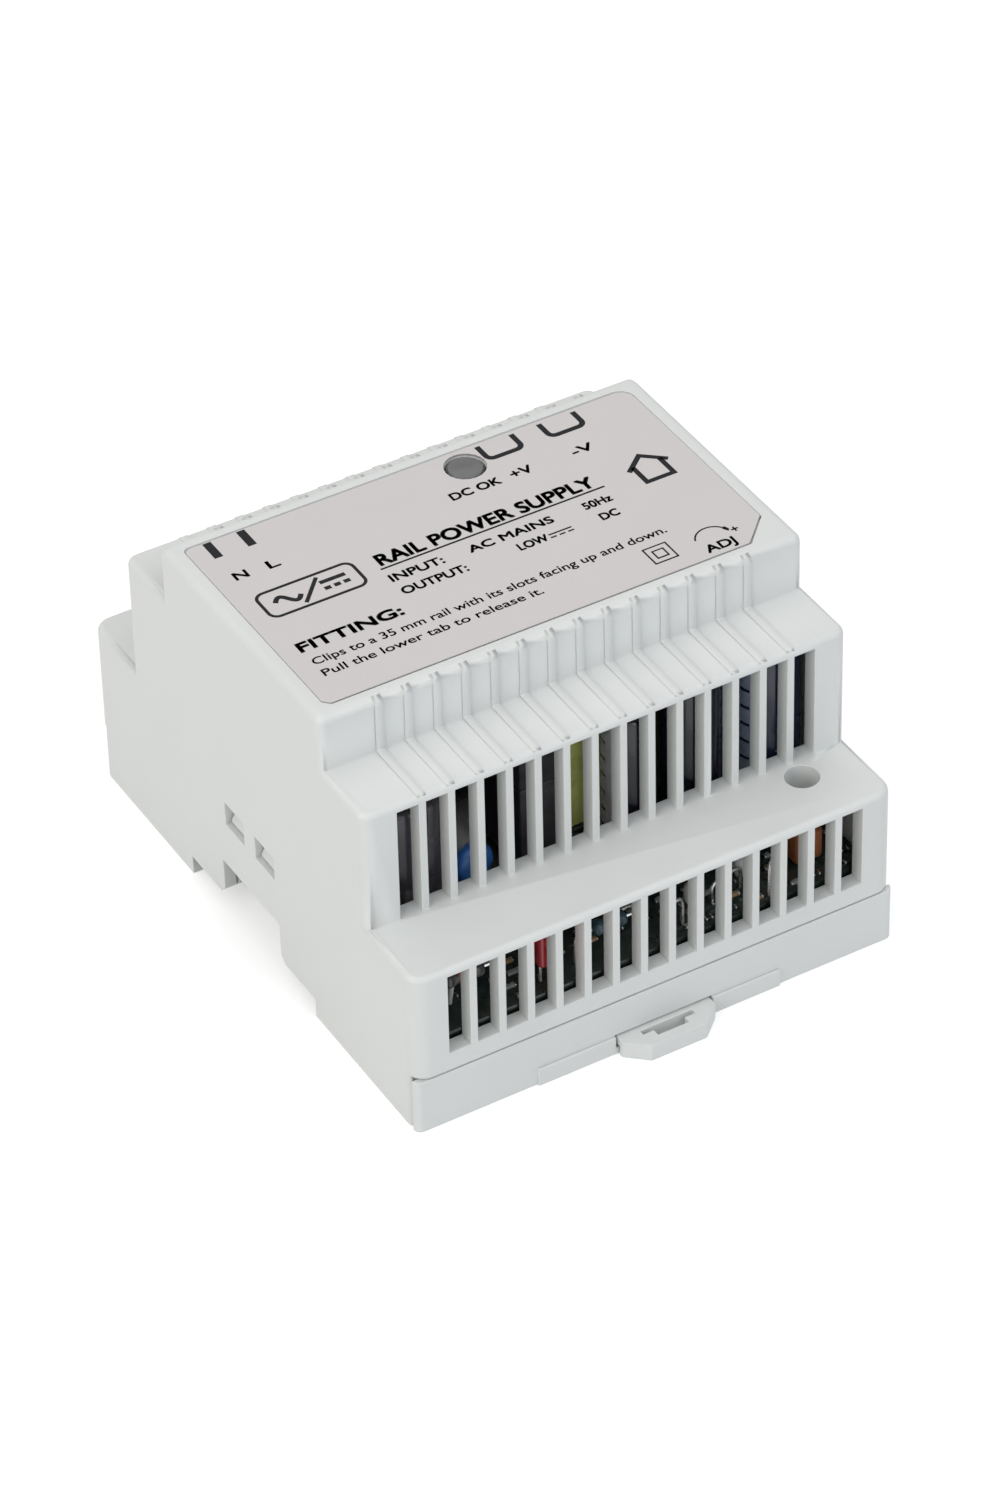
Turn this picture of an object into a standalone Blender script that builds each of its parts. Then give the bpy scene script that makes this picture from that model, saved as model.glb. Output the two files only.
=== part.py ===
"""DIN rail power supply: a stepped plastic housing on a rail, with its board, terminals and rail latch.

The label faces +Z and the rail lies along X, behind the housing at low Z. The grilled side with the rail
latch faces -Y and the wiring side faces +Y. All solids are drawn in housing coordinates, where y = 0 is the
middle of the rail, and then hang from one empty that puts the origin under the middle of the whole box.
"""

import math

import bmesh
import bpy
from mathutils import Matrix, Vector

MM = 0.001

# Housing outside
HOUSING_WIDTH = 77.5 * MM
HOUSING_LENGTH = 93.0 * MM
HOUSING_HEIGHT = 56.0 * MM
MIDDLE_LENGTH = 68.0 * MM
NOSE_LENGTH = 45.2 * MM
UPPER_SHELF = 47.0 * MM
SEAM_HEIGHT = 9.3 * MM
SIDE_WALL = 2.0 * MM
END_WALL = 2.6 * MM
TOP_WALL = 2.0 * MM
LOWER_CORNER = 2.7 * MM
MIDDLE_CORNER = 1.8 * MM
NOSE_CORNER = 1.4 * MM
SHELF_FILLET = 0.9 * MM
NOSE_FILLET = 1.25 * MM
SIDE_DRAFT = 0.26 * MM
SKIRT_INSET = 1.5 * MM

# Clearances
GAP = 0.3 * MM
CUT_THROUGH = 1.0 * MM

# Grille and ribs
SLOT_COUNT = 15
SLOT_PITCH = 4.52 * MM
SLOT_WIDTH = 3.35 * MM
LOWER_SLOT_SILL = 12.4 * MM
SLOT_HEAD = 1.2 * MM
RIB_WIDTH = 1.3 * MM
RIB_PROUD = 0.25 * MM
RIB_ROOT = 0.6 * MM
RIB_TOP_DROP = 0.06 * MM

# Rail seat, for a 35 mm top hat rail
RAIL_RECESS_LENGTH = 36.1 * MM
RAIL_SEAT = 3.1 * MM
TROUGH_LENGTH = 16.4 * MM
TROUGH_HEIGHT = 9.6 * MM
TROUGH_CHAMFER = 1.2 * MM
BASE_SHEET = 1.6 * MM
HOOK_WIDTH = 6.0 * MM
HOOK_REACH = 1.9 * MM
HOOK_THICKNESS = 1.6 * MM
HOOK_SPACING = 44.0 * MM
BASE_CORNER = 1.1 * MM
WIRING_PLATE_STEP = 1.8 * MM
PAD_WIDTH = 39.4 * MM
PAD_HEIGHT = 3.0 * MM
PAD_PROUD = 0.4 * MM

# Snap hooks between base and cover
SNAP_WIDTH = 5.5 * MM
SNAP_CENTRES = (4.0 * MM, -4.7 * MM)
SNAP_SILL = 17.2 * MM
SNAP_HEIGHT = 4.0 * MM
SNAP_ARM = 1.5 * MM
SNAP_PROUD = 1.5 * MM

# Rail latch
LATCH_CENTRE = 0.7 * MM
LATCH_WIDTH = 15.2 * MM
LATCH_BODY_WIDTH = 11.2 * MM
LATCH_TIP_WIDTH = 9.0 * MM
LATCH_HEIGHT = 2.8 * MM
LATCH_FLANGE = 1.3 * MM
LATCH_TAB_REACH = 4.2 * MM
LATCH_TAB_BAR = 1.6 * MM
LATCH_TAB_CORNER = 0.7 * MM
LATCH_BLADE_REACH = 1.9 * MM
LATCH_BLADE_HEIGHT = 1.7 * MM
LATCH_FLANGE_LENGTH = 23.0 * MM
LATCH_TRAVEL = 4.0 * MM
SPRING_LENGTH = 11.6 * MM
SPRING_RADIUS = 1.0 * MM
SPRING_WIRE = 0.2 * MM
SPRING_TURNS = 7
SPRING_PEG = 1.5 * MM
SPRING_WINDOW_WIDTH = 3.6 * MM
LATCH_WEB = 6.8 * MM

# Label and status light
LABEL_WIDTH = 71.8 * MM
LABEL_LENGTH = 40.0 * MM
LABEL_THICKNESS = 0.25 * MM
LABEL_RECESS = 0.6 * MM
LABEL_BIG_CHAMFER = 4.6 * MM
LABEL_SMALL_CHAMFER = 1.0 * MM
LABEL_ROUND = 2.2 * MM
LIGHT_X = 7.0 * MM
LIGHT_Y = 16.2 * MM
LIGHT_RADIUS = 2.8 * MM
LIGHT_FLANGE = 1.0 * MM
LED_RADIUS = 1.5 * MM
LED_LENGTH = 5.0 * MM
LED_SPACER_RADIUS = 2.7 * MM
LED_LEG = 0.5 * MM
LED_LEG_SPACING = 2.54 * MM

# Circuit board
BOARD_THICKNESS = 1.6 * MM
BOARD_EDGE_GAP = 0.4 * MM
BOARD_SCREW_X = 33.0 * MM
BOARD_SCREW_Y = 27.0 * MM
BOARD_SCREW_RADIUS = 1.0 * MM
BOARD_SCREW_HEAD = 2.2 * MM
BOARD_SCREW_LENGTH = 8.0 * MM
BOSS_RADIUS = 2.6 * MM

# Terminals
TERMINAL_PITCH = 5.08 * MM
INPUT_CENTRE = -29.55 * MM
OUTPUT_CENTRE = 18.7 * MM
TERMINAL_HEIGHT = 11.4 * MM
TERMINAL_HEADROOM = 0.4 * MM
TERMINAL_DEPTH = 8.0 * MM
TERMINAL_SCREW_SETBACK = 3.9 * MM
CHAMBER_WIDTH = 3.9 * MM
CHAMBER_FLOOR = 0.6 * MM
CHAMBER_HEIGHT = 6.8 * MM
CHAMBER_DEPTH = 6.4 * MM
TERMINAL_NECK = 0.4 * MM
SCREW_SHANK = 1.1 * MM
SCREW_HEAD = 1.55 * MM
SCREW_HEAD_HEIGHT = 1.7 * MM
SCREW_SLOT = 0.55 * MM
CAGE_DEPTH = 4.0 * MM
CAGE_HEIGHT = 4.3 * MM
CAGE_WALL = 0.5 * MM
CAGE_TRAVEL = 2.0 * MM
DRIVER_HOLE_RADIUS = 2.1 * MM

# Voltage adjuster
TRIMMER_X = 29.2 * MM
TRIMMER_Y = -37.3 * MM
TRIMMER_SIZE = 4.5 * MM
TRIMMER_HEIGHT = 4.8 * MM
ROTOR_RADIUS = 1.5 * MM
ROTOR_DEPTH = 1.8 * MM
ROTOR_PROUD = 0.6 * MM
ROTOR_SLOT = 0.6 * MM
GUIDE_RADIUS = 2.5 * MM
GUIDE_WALL = 0.9 * MM
GUIDE_DEPTH = 4.6 * MM

# Heights that follow from the sizes above
BOARD_BOTTOM = TROUGH_HEIGHT + BASE_SHEET + GAP
BOARD_TOP = BOARD_BOTTOM + BOARD_THICKNESS
SEAT = BOARD_TOP + GAP
LOWER_SHELF = SEAT + TERMINAL_HEIGHT + TERMINAL_HEADROOM + TOP_WALL
WALL_INSIDE = HOUSING_WIDTH / 2 - SIDE_WALL
END_INSIDE = HOUSING_LENGTH / 2 - END_WALL
BASE_HALF = WALL_INSIDE - GAP
FOOT_END = RAIL_RECESS_LENGTH / 2

FAR = 200 * MM
AXES = {"X": 0, "Y": 1, "Z": 2}

for old in list(bpy.data.objects):
    bpy.data.objects.remove(old, do_unlink=True)


# ---------------------------------------------------------------- drawing helpers


def material(name, color, roughness, metallic=0.0):
    """A Principled BSDF with this piece's colour, roughness and metallic value."""
    made = bpy.data.materials.new(name)
    made.use_nodes = True
    shader = made.node_tree.nodes["Principled BSDF"]
    shader.inputs["Base Color"].default_value = (*color, 1.0)
    shader.inputs["Roughness"].default_value = roughness
    shader.inputs["Metallic"].default_value = metallic
    made.diffuse_color = (*color, 1.0)
    return made


def to_object(name, bm):
    """Turns a bmesh into a scene object with its faces pointing out."""
    bmesh.ops.recalc_face_normals(bm, faces=bm.faces)
    mesh = bpy.data.meshes.new(name)
    bm.to_mesh(mesh)
    bm.free()
    made = bpy.data.objects.new(name, mesh)
    bpy.context.scene.collection.objects.link(made)
    return made


def box(name, x, y, z, corner=0.0, fillet=0.0, corner_segments=5, fillet_segments=3):
    """A box between the limits x, y and z, with round upright corners and a filleted top."""
    bm = bmesh.new()
    bmesh.ops.create_cube(bm, size=1.0)
    size = Vector((x[1] - x[0], y[1] - y[0], z[1] - z[0]))
    middle = Vector((sum(x), sum(y), sum(z))) / 2
    bmesh.ops.scale(bm, vec=size, verts=bm.verts)
    bmesh.ops.translate(bm, vec=middle, verts=bm.verts)
    if corner:
        upright = [e for e in bm.edges if abs(e.verts[0].co.z - e.verts[1].co.z) > size.z / 2]
        bevel(bm, upright, corner, corner_segments)
    if fillet:
        top = [e for e in bm.edges if all(abs(v.co.z - z[1]) < 1e-7 for v in e.verts)]
        bevel(bm, top, fillet, fillet_segments)
    return to_object(name, bm)


def bevel(bm, edges, width, segments):
    """Rounds the edges with a bevel of this width."""
    bmesh.ops.bevel(
        bm, geom=edges, offset=width, offset_type="OFFSET", segments=segments,
        profile=0.5, affect="EDGES", clamp_overlap=True, material=-1,
    )


def centred(middle, size):
    """The two limits of a span of this size about its middle."""
    return (middle - size / 2, middle + size / 2)


def both(half):
    """The two limits of a span centred on zero."""
    return (-half, half)


def rounded(corners, segments=4):
    """An outline whose corners, given as (across, up, radius), are turned into arcs."""
    points = []
    for index, (across, up, radius) in enumerate(corners):
        here = Vector((across, up))
        if not radius:
            points.append(here)
            continue
        before = Vector(corners[index - 1][:2]) - here
        after = Vector(corners[(index + 1) % len(corners)][:2]) - here
        half_angle = before.angle(after) / 2
        reach = radius / math.tan(half_angle)
        start = here + before.normalized() * reach
        end = here + after.normalized() * reach
        towards = (before.normalized() + after.normalized()).normalized()
        centre = here + towards * (radius / math.sin(half_angle))
        turn = (start - centre).angle_signed(end - centre)
        for step in range(segments + 1):
            spoke = (start - centre).copy()
            spoke.rotate(Matrix.Rotation(-turn * step / segments, 2))
            points.append(centre + spoke)
    return points


def prism(name, outline, axis, low, high):
    """An outline drawn across one axis and extruded along it from low to high."""
    along = AXES[axis]
    across, up = [i for i in range(3) if i != along]
    bm = bmesh.new()
    verts = []
    for point in outline:
        place = [0.0, 0.0, 0.0]
        place[along] = low
        place[across] = point[0]
        place[up] = point[1]
        verts.append(bm.verts.new(place))
    face = bm.faces.new(verts)
    grown = bmesh.ops.extrude_face_region(bm, geom=[face])
    shift = [0.0, 0.0, 0.0]
    shift[along] = high - low
    moved = [g for g in grown["geom"] if isinstance(g, bmesh.types.BMVert)]
    bmesh.ops.translate(bm, vec=shift, verts=moved)
    return to_object(name, bm)


def cylinder(name, centre, radius, low, high, axis="Z", segments=20):
    """A round bar about an axis through centre, given by the two coordinates across that axis."""
    bm = bmesh.new()
    bmesh.ops.create_cone(
        bm, cap_ends=True, segments=segments, radius1=radius, radius2=radius, depth=high - low
    )
    turn = {"X": Matrix.Rotation(math.pi / 2, 3, "Y"), "Y": Matrix.Rotation(math.pi / 2, 3, "X")}
    if axis in turn:
        bmesh.ops.rotate(bm, matrix=turn[axis], verts=bm.verts)
    place = list(centre)
    place.insert(AXES[axis], (low + high) / 2)
    bmesh.ops.translate(bm, vec=place, verts=bm.verts)
    return to_object(name, bm)


def turned(name, profile, centre, segments=20):
    """A profile of (radius, z) points, from the axis out and back to it, spun about an upright axis."""
    bm = bmesh.new()
    verts = [bm.verts.new((radius, 0.0, z)) for radius, z in profile]
    edges = [bm.edges.new(pair) for pair in zip(verts, verts[1:])]
    if profile[0][0] > 0:
        edges.append(bm.edges.new((verts[-1], verts[0])))
    bmesh.ops.spin(
        bm, geom=verts + edges, cent=(0, 0, 0), axis=(0, 0, 1), dvec=(0, 0, 0),
        angle=2 * math.pi, steps=segments, use_merge=True,
    )
    bmesh.ops.remove_doubles(bm, verts=bm.verts, dist=1e-6)
    bmesh.ops.translate(bm, vec=(*centre, 0.0), verts=bm.verts)
    return to_object(name, bm)


def combine(target, tools, operation):
    """Applies one Boolean per tool to the target and drops the tools."""
    for tool in tools:
        modifier = target.modifiers.new(operation.title(), "BOOLEAN")
        modifier.operation = operation
        modifier.solver = "EXACT"
        modifier.object = tool
        bpy.context.view_layer.update()
        depsgraph = bpy.context.evaluated_depsgraph_get()
        mesh = bpy.data.meshes.new_from_object(target.evaluated_get(depsgraph))
        target.modifiers.clear()
        target.data = mesh
        bpy.data.objects.remove(tool, do_unlink=True)
    return target


def join(name, pieces):
    """Gathers solids that don't touch into one tool, so that a single Boolean takes them all."""
    bm = bmesh.new()
    for piece in pieces:
        bm.from_mesh(piece.data)
        bpy.data.objects.remove(piece, do_unlink=True)
    mesh = bpy.data.meshes.new(name)
    bm.to_mesh(mesh)
    bm.free()
    made = bpy.data.objects.new(name, mesh)
    bpy.context.scene.collection.objects.link(made)
    return made


def unite(target, *tools):
    """Adds the tools to the target."""
    return combine(target, tools, "UNION")


def cut(target, *tools):
    """Takes the tools away from the target."""
    return combine(target, tools, "DIFFERENCE")


def finish(obj, look, origin=(0.0, 0.0, 0.0), smooth=False):
    """Gives the node its material, and its own origin without moving the solid."""
    obj.data.materials.clear()
    obj.data.materials.append(look)
    obj.data.transform(Matrix.Translation(-Vector(origin)))
    obj.location = origin
    if smooth:
        obj.data.shade_smooth()
        obj.data.set_sharp_from_angle(angle=math.radians(40))
    return obj


def slot_centres():
    """The middles of the grille slots along X."""
    return [(i - (SLOT_COUNT - 1) / 2) * SLOT_PITCH for i in range(SLOT_COUNT)]


def terminal_centres(middle, count):
    """The middles of one terminal block's poles along X."""
    return [middle + (i - (count - 1) / 2) * TERMINAL_PITCH for i in range(count)]


INPUT_POLES = terminal_centres(INPUT_CENTRE, 2)
OUTPUT_POLES = terminal_centres(OUTPUT_CENTRE, 4)
TERMINAL_FACE = END_INSIDE - GAP
TERMINAL_AXIS = TERMINAL_FACE - TERMINAL_SCREW_SETBACK
CHAMBER_BOTTOM = SEAT + CHAMBER_FLOOR
CHAMBER_TOP = CHAMBER_BOTTOM + CHAMBER_HEIGHT

# ---------------------------------------------------------------- materials

HOUSING_PLASTIC = material("housing_plastic", (0.74, 0.75, 0.73), 0.45)
LABEL_FILM = material("label_film", (0.66, 0.64, 0.63), 0.5)
CLEAR_PLASTIC = material("clear_plastic", (0.35, 0.36, 0.36), 0.2)
LED_PLASTIC = material("led_plastic", (0.25, 0.6, 0.25), 0.2)
NYLON = material("nylon", (0.85, 0.84, 0.8), 0.5)
BOARD_LAMINATE = material("board_laminate", (0.16, 0.3, 0.12), 0.5)
PLATED_STEEL = material("plated_steel", (0.72, 0.72, 0.7), 0.3, 1.0)
SPRING_STEEL = material("spring_steel", (0.55, 0.55, 0.55), 0.3, 1.0)
TERMINAL_PLASTIC = material("terminal_plastic", (0.05, 0.2, 0.09), 0.5)
BLACK_PLASTIC = material("black_plastic", (0.03, 0.03, 0.035), 0.45)
BLACK_SLEEVE = material("black_sleeve", (0.025, 0.025, 0.035), 0.3)
FERRITE = material("ferrite", (0.05, 0.05, 0.05), 0.6)
YELLOW_TAPE = material("yellow_tape", (0.62, 0.66, 0.12), 0.4)
BLUE_CERAMIC = material("blue_ceramic", (0.06, 0.2, 0.55), 0.4)
GREEN_CERAMIC = material("green_ceramic", (0.05, 0.14, 0.09), 0.5)
RED_FILM = material("red_film", (0.6, 0.08, 0.09), 0.4)
GREY_PLASTIC = material("grey_plastic", (0.45, 0.46, 0.46), 0.5)
COPPER_WIRE = material("copper_wire", (0.6, 0.26, 0.12), 0.3, 1.0)
ALUMINIUM = material("aluminium", (0.72, 0.73, 0.74), 0.4, 1.0)
RESISTOR_PAINT = material("resistor_paint", (0.55, 0.45, 0.32), 0.5)
BROWN_PHENOLIC = material("brown_phenolic", (0.5, 0.2, 0.1), 0.5)
WHITE_ROTOR = material("white_rotor", (0.8, 0.8, 0.76), 0.5)


# ---------------------------------------------------------------- housing


def rail_outline(bottom):
    """The space behind the housing that the rail fills, as (y, z) points."""
    seat = FOOT_END
    trough = TROUGH_LENGTH / 2
    chamfer = TROUGH_CHAMFER
    half = [(seat, bottom), (seat, RAIL_SEAT), (trough + chamfer, RAIL_SEAT)]
    half += [(trough, RAIL_SEAT + chamfer), (trough, TROUGH_HEIGHT)]
    return half + [(-y, z) for y, z in reversed(half)]


def label_outline(grow=0.0):
    """The label's outline, or that of its recess when grown, as (x, y) points."""
    x = LABEL_WIDTH / 2 + grow
    y = LABEL_LENGTH / 2 + grow
    big, small = LABEL_BIG_CHAMFER, LABEL_SMALL_CHAMFER
    corners = [(-x + small, -y, 0), (x - big, -y, 0), (x, -y + big, 0)]
    corners += [(x, y, LABEL_ROUND), (-x, y, small), (-x, -y + small, 0)]
    return rounded(corners)


def grille_cutters():
    """Boxes for both rows of slots on the latch side and the upper row on the wiring side."""
    middle = MIDDLE_LENGTH / 2
    upper = (LOWER_SHELF, UPPER_SHELF - SLOT_HEAD)
    lower = (LOWER_SLOT_SILL, LOWER_SHELF - SLOT_HEAD)
    out = CUT_THROUGH
    boxes = []
    for x in slot_centres():
        span = centred(x, SLOT_WIDTH)
        boxes.append(box("slot", span, (-middle - out, -middle + END_WALL + out), upper))
        boxes.append(box("slot", span, (middle - END_WALL - out, middle + out), upper))
        boxes.append(box("slot", span, (-HOUSING_LENGTH / 2 - out, -END_INSIDE + out), lower))
    return join("slots", boxes)


def ribs():
    """L-shaped ribs that run down the nose and out along the upper shelf to each bar of the grille."""
    nose = NOSE_LENGTH / 2
    edge = MIDDLE_LENGTH / 2 - RIB_PROUD
    face = nose + RIB_PROUD
    low = UPPER_SHELF - RIB_ROOT
    profile = [(nose - RIB_ROOT, low), (edge, low), (edge, UPPER_SHELF - RIB_PROUD / 2)]
    profile += [(edge - 2 * RIB_PROUD, UPPER_SHELF + RIB_PROUD / 2), (face + RIB_PROUD, UPPER_SHELF + RIB_PROUD)]
    profile += [(face, UPPER_SHELF + 2 * RIB_PROUD), (face, HOUSING_HEIGHT - NOSE_FILLET)]
    profile += [(nose - 0.1 * NOSE_FILLET, HOUSING_HEIGHT - 0.2 * NOSE_FILLET)]
    profile += [(nose - 0.6 * NOSE_FILLET, HOUSING_HEIGHT - RIB_TOP_DROP)]
    profile += [(nose - NOSE_FILLET, HOUSING_HEIGHT - RIB_TOP_DROP)]
    profile += [(nose - NOSE_FILLET, HOUSING_HEIGHT - RIB_ROOT)]
    pieces = []
    for left, right in zip(slot_centres(), slot_centres()[1:]):
        span = centred((left + right) / 2, RIB_WIDTH)
        for side in (-1, 1):
            outline = [(side * y, z) for y, z in profile]
            pieces.append(prism("rib", outline, "X", *span))
    return join("ribs", pieces)


def make_front_cover():
    """The stepped shell: three tiers, side skirts down to the rail, grilles, ribs and a label recess."""
    half = both(HOUSING_WIDTH / 2)
    tiers = [
        (HOUSING_LENGTH, SEAM_HEIGHT, LOWER_SHELF, LOWER_CORNER, SHELF_FILLET),
        (MIDDLE_LENGTH, SEAM_HEIGHT + TOP_WALL, UPPER_SHELF, MIDDLE_CORNER, SHELF_FILLET),
        (NOSE_LENGTH, SEAM_HEIGHT + 2 * TOP_WALL, HOUSING_HEIGHT, NOSE_CORNER, NOSE_FILLET),
    ]
    solids = [
        box("tier", half, both(length / 2), (low, high), corner, fillet)
        for length, low, high, corner, fillet in tiers
    ]
    cover = unite(*solids)
    recess = (HOUSING_HEIGHT - LABEL_RECESS, HOUSING_HEIGHT + CUT_THROUGH)
    cut(cover, prism("recess", label_outline(GAP), "Z", *recess))
    skirt_end = HOUSING_LENGTH / 2 - SKIRT_INSET
    skirt_corner = LOWER_CORNER - SKIRT_INSET
    unite(cover, box("skirt", half, both(skirt_end), (0.0, SEAM_HEIGHT), skirt_corner))
    unite(cover, ribs())

    inside = both(WALL_INSIDE)
    hollow = box("hollow", inside, both(END_INSIDE), (-CUT_THROUGH, LOWER_SHELF - TOP_WALL))
    below = box("hollow", inside, both(HOUSING_LENGTH), (-CUT_THROUGH, SEAM_HEIGHT))
    middle = box("hollow", inside, both(MIDDLE_LENGTH / 2 - END_WALL), (0.0, UPPER_SHELF - TOP_WALL))
    nose = box("hollow", inside, both(NOSE_LENGTH / 2 - END_WALL), (0.0, HOUSING_HEIGHT - TOP_WALL))
    cut(cover, unite(hollow, below, middle, nose))

    guide_top = LOWER_SHELF - TOP_WALL / 2
    guide_low = LOWER_SHELF - TOP_WALL - GUIDE_DEPTH
    place = (TRIMMER_X, TRIMMER_Y)
    unite(cover, cylinder("guide", place, GUIDE_RADIUS + GUIDE_WALL, guide_low, guide_top, segments=24))

    cut(cover, grille_cutters())
    cut(cover, prism("rail", rail_outline(-CUT_THROUGH), "X", -FAR, FAR))
    holes = [
        cylinder("guide_bore", place, GUIDE_RADIUS, guide_low - CUT_THROUGH, FAR / 5, segments=24),
        cylinder("light", (LIGHT_X, LIGHT_Y), LIGHT_RADIUS + GAP, HOUSING_HEIGHT - 3 * TOP_WALL, FAR / 3),
    ]
    entry = (CHAMBER_BOTTOM, CHAMBER_TOP - CAGE_TRAVEL)
    for x in INPUT_POLES + OUTPUT_POLES:
        span = centred(x, CHAMBER_WIDTH)
        holes.append(box("entry", span, (END_INSIDE - CUT_THROUGH, HOUSING_LENGTH), entry))
        driver = (LOWER_SHELF - 2 * TOP_WALL, LOWER_SHELF + CUT_THROUGH)
        holes.append(cylinder("driver", (x, TERMINAL_AXIS), DRIVER_HOLE_RADIUS, *driver))
    for y in SNAP_CENTRES:
        window = centred(y, SNAP_WIDTH), (SNAP_SILL, SNAP_SILL + SNAP_HEIGHT)
        holes.append(box("window", (-FAR, -WALL_INSIDE + CUT_THROUGH), *window))
        holes.append(box("window", (WALL_INSIDE - CUT_THROUGH, FAR), *window))
    cut(cover, join("holes", holes))
    lean_sides(cover)
    cover.name = "front_cover"
    return finish(cover, HOUSING_PLASTIC)


def lean_sides(obj):
    """Draft: the sides lean in towards the nose, so that the moulding leaves its tool."""
    rate = SIDE_DRAFT / (HOUSING_WIDTH / 2) / HOUSING_HEIGHT
    for vert in obj.data.vertices:
        vert.co.x *= 1 - rate * vert.co.z


def base_outline():
    """The base's sheet as (y, z) points: two feet, two seats for the rail and the trough between."""
    foot = HOUSING_LENGTH / 2
    rim = SEAM_HEIGHT - GAP
    sheet = BASE_SHEET
    chamfer = TROUGH_CHAMFER
    trough = TROUGH_LENGTH / 2
    half = [(foot, 0.0), (foot, rim), (foot - sheet, rim), (foot - sheet, sheet)]
    half += [(FOOT_END + sheet, sheet), (FOOT_END + sheet, RAIL_SEAT + sheet)]
    half += [(trough + sheet + chamfer, RAIL_SEAT + sheet), (trough + sheet, RAIL_SEAT + sheet + chamfer)]
    half += [(trough + sheet, TROUGH_HEIGHT + sheet)]
    upper = half + [(-y, z) for y, z in reversed(half)]
    under = rail_outline(0.0)
    return upper + list(reversed(under))


def end_plate(side):
    """The base's end wall in front of the cover's skirts. The wiring side's stops short of the corners."""
    outer = HOUSING_LENGTH / 2
    inner = HOUSING_LENGTH / 2 - SKIRT_INSET + GAP
    x = HOUSING_WIDTH / 2 - (WIRING_PLATE_STEP if side > 0 else 0.0)
    corners = [(-x, inner, 0), (x, inner, 0), (x, outer, BASE_CORNER), (-x, outer, BASE_CORNER)]
    outline = [(px, side * py) for px, py in rounded(corners)]
    return prism("end_plate", outline, "Z", 0.0, SEAM_HEIGHT - GAP)


def snap_arm(side, y):
    """An arm with a wedge that clicks into a window in the cover's side."""
    outer = BASE_HALF - GAP / 2
    catch = SNAP_SILL + GAP
    tip = SNAP_SILL + SNAP_HEIGHT - GAP
    outline = [(outer - SNAP_ARM, TROUGH_HEIGHT + BASE_SHEET / 2), (outer, TROUGH_HEIGHT + BASE_SHEET / 2)]
    outline += [(outer, catch), (outer + SNAP_PROUD, catch), (outer + SNAP_PROUD, catch + SNAP_PROUD / 3)]
    outline += [(outer, tip), (outer - SNAP_ARM, tip)]
    outline = [(side * x, z) for x, z in outline]
    return prism("snap_arm", outline, "Y", *centred(y, SNAP_WIDTH - 2 * GAP))


def rail_hook(x):
    """A fixed lip that reaches under the rail's far flange."""
    wall = FOOT_END + BASE_SHEET / 2
    tip = FOOT_END - HOOK_REACH
    top = HOOK_THICKNESS
    outline = [(wall, 0.0), (tip + top / 2, 0.0), (tip, top / 2), (tip, top), (wall, top)]
    return prism("rail_hook", outline, "X", *centred(x, HOOK_WIDTH))


def latch_channel():
    """The cut that the rail latch slides in: wide above for its flanges and narrow below."""
    near = -HOUSING_LENGTH / 2 - PAD_PROUD - CUT_THROUGH
    lip = LATCH_HEIGHT - LATCH_FLANGE - GAP
    wide = centred(LATCH_CENTRE, LATCH_WIDTH + 2 * GAP)
    narrow = centred(LATCH_CENTRE, LATCH_BODY_WIDTH + 2 * GAP)
    flange_end = -HOUSING_LENGTH / 2 + LATCH_FLANGE_LENGTH + GAP
    upper = box("channel", wide, (near, flange_end), (lip, LATCH_HEIGHT + GAP))
    lower = box("channel", narrow, (near, -FOOT_END + CUT_THROUGH), (-CUT_THROUGH, LATCH_BLADE_HEIGHT + GAP))
    return unite(upper, lower)


def make_rear_base():
    """The moulded back that carries the rail seats, hooks, latch channel, bosses and snap arms."""
    base = prism("rear_base", base_outline(), "X", -BASE_HALF, BASE_HALF)
    unite(base, end_plate(-1), end_plate(1))
    front = -HOUSING_LENGTH / 2
    pad = (front - PAD_PROUD, front + BASE_SHEET)
    unite(base, box("pad", both(PAD_WIDTH / 2), pad, (0.0, PAD_HEIGHT)))
    roof = LATCH_HEIGHT + GAP + BASE_SHEET
    roof_width = centred(LATCH_CENTRE, LATCH_WIDTH + 2 * GAP + 2 * BASE_SHEET)
    unite(base, box("roof", roof_width, (front + BASE_SHEET / 2, -FOOT_END - BASE_SHEET / 2), (0.0, roof)))
    cut(base, latch_channel())
    unite(base, spring_peg())
    for x in both(HOOK_SPACING / 2):
        unite(base, rail_hook(x))
    for side in (-1, 1):
        for y in SNAP_CENTRES:
            unite(base, snap_arm(side, y))
        x = side * BOARD_SCREW_X
        boss_top = BOARD_BOTTOM - GAP
        unite(base, cylinder("boss", (x, BOARD_SCREW_Y), BOSS_RADIUS, BASE_SHEET / 2, boss_top))
        unite(base, cylinder("post", (x, -BOARD_SCREW_Y), BOSS_RADIUS, BASE_SHEET / 2, boss_top))
        pilot = BOARD_SCREW_RADIUS + GAP
        floor = boss_top - BOARD_SCREW_LENGTH
        cut(base, cylinder("pilot", (x, BOARD_SCREW_Y), pilot, floor, boss_top + CUT_THROUGH))
    return finish(base, HOUSING_PLASTIC)


# ---------------------------------------------------------------- rail latch

LATCH_FRONT = -HOUSING_LENGTH / 2 - PAD_PROUD - GAP
SPRING_START = -HOUSING_LENGTH / 2 + LATCH_WEB + SPRING_PEG + 2 * GAP
SPRING_END = SPRING_START + SPRING_LENGTH
SPRING_HEIGHT = LATCH_HEIGHT / 2


def spring_peg():
    """The base's peg that the latch spring pushes against."""
    span = (SPRING_START - GAP - SPRING_PEG, SPRING_START - GAP)
    width = centred(LATCH_CENTRE, SPRING_WINDOW_WIDTH - 4 * GAP)
    return box("peg", width, span, (2 * GAP, LATCH_HEIGHT + GAP + BASE_SHEET / 2))


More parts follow.
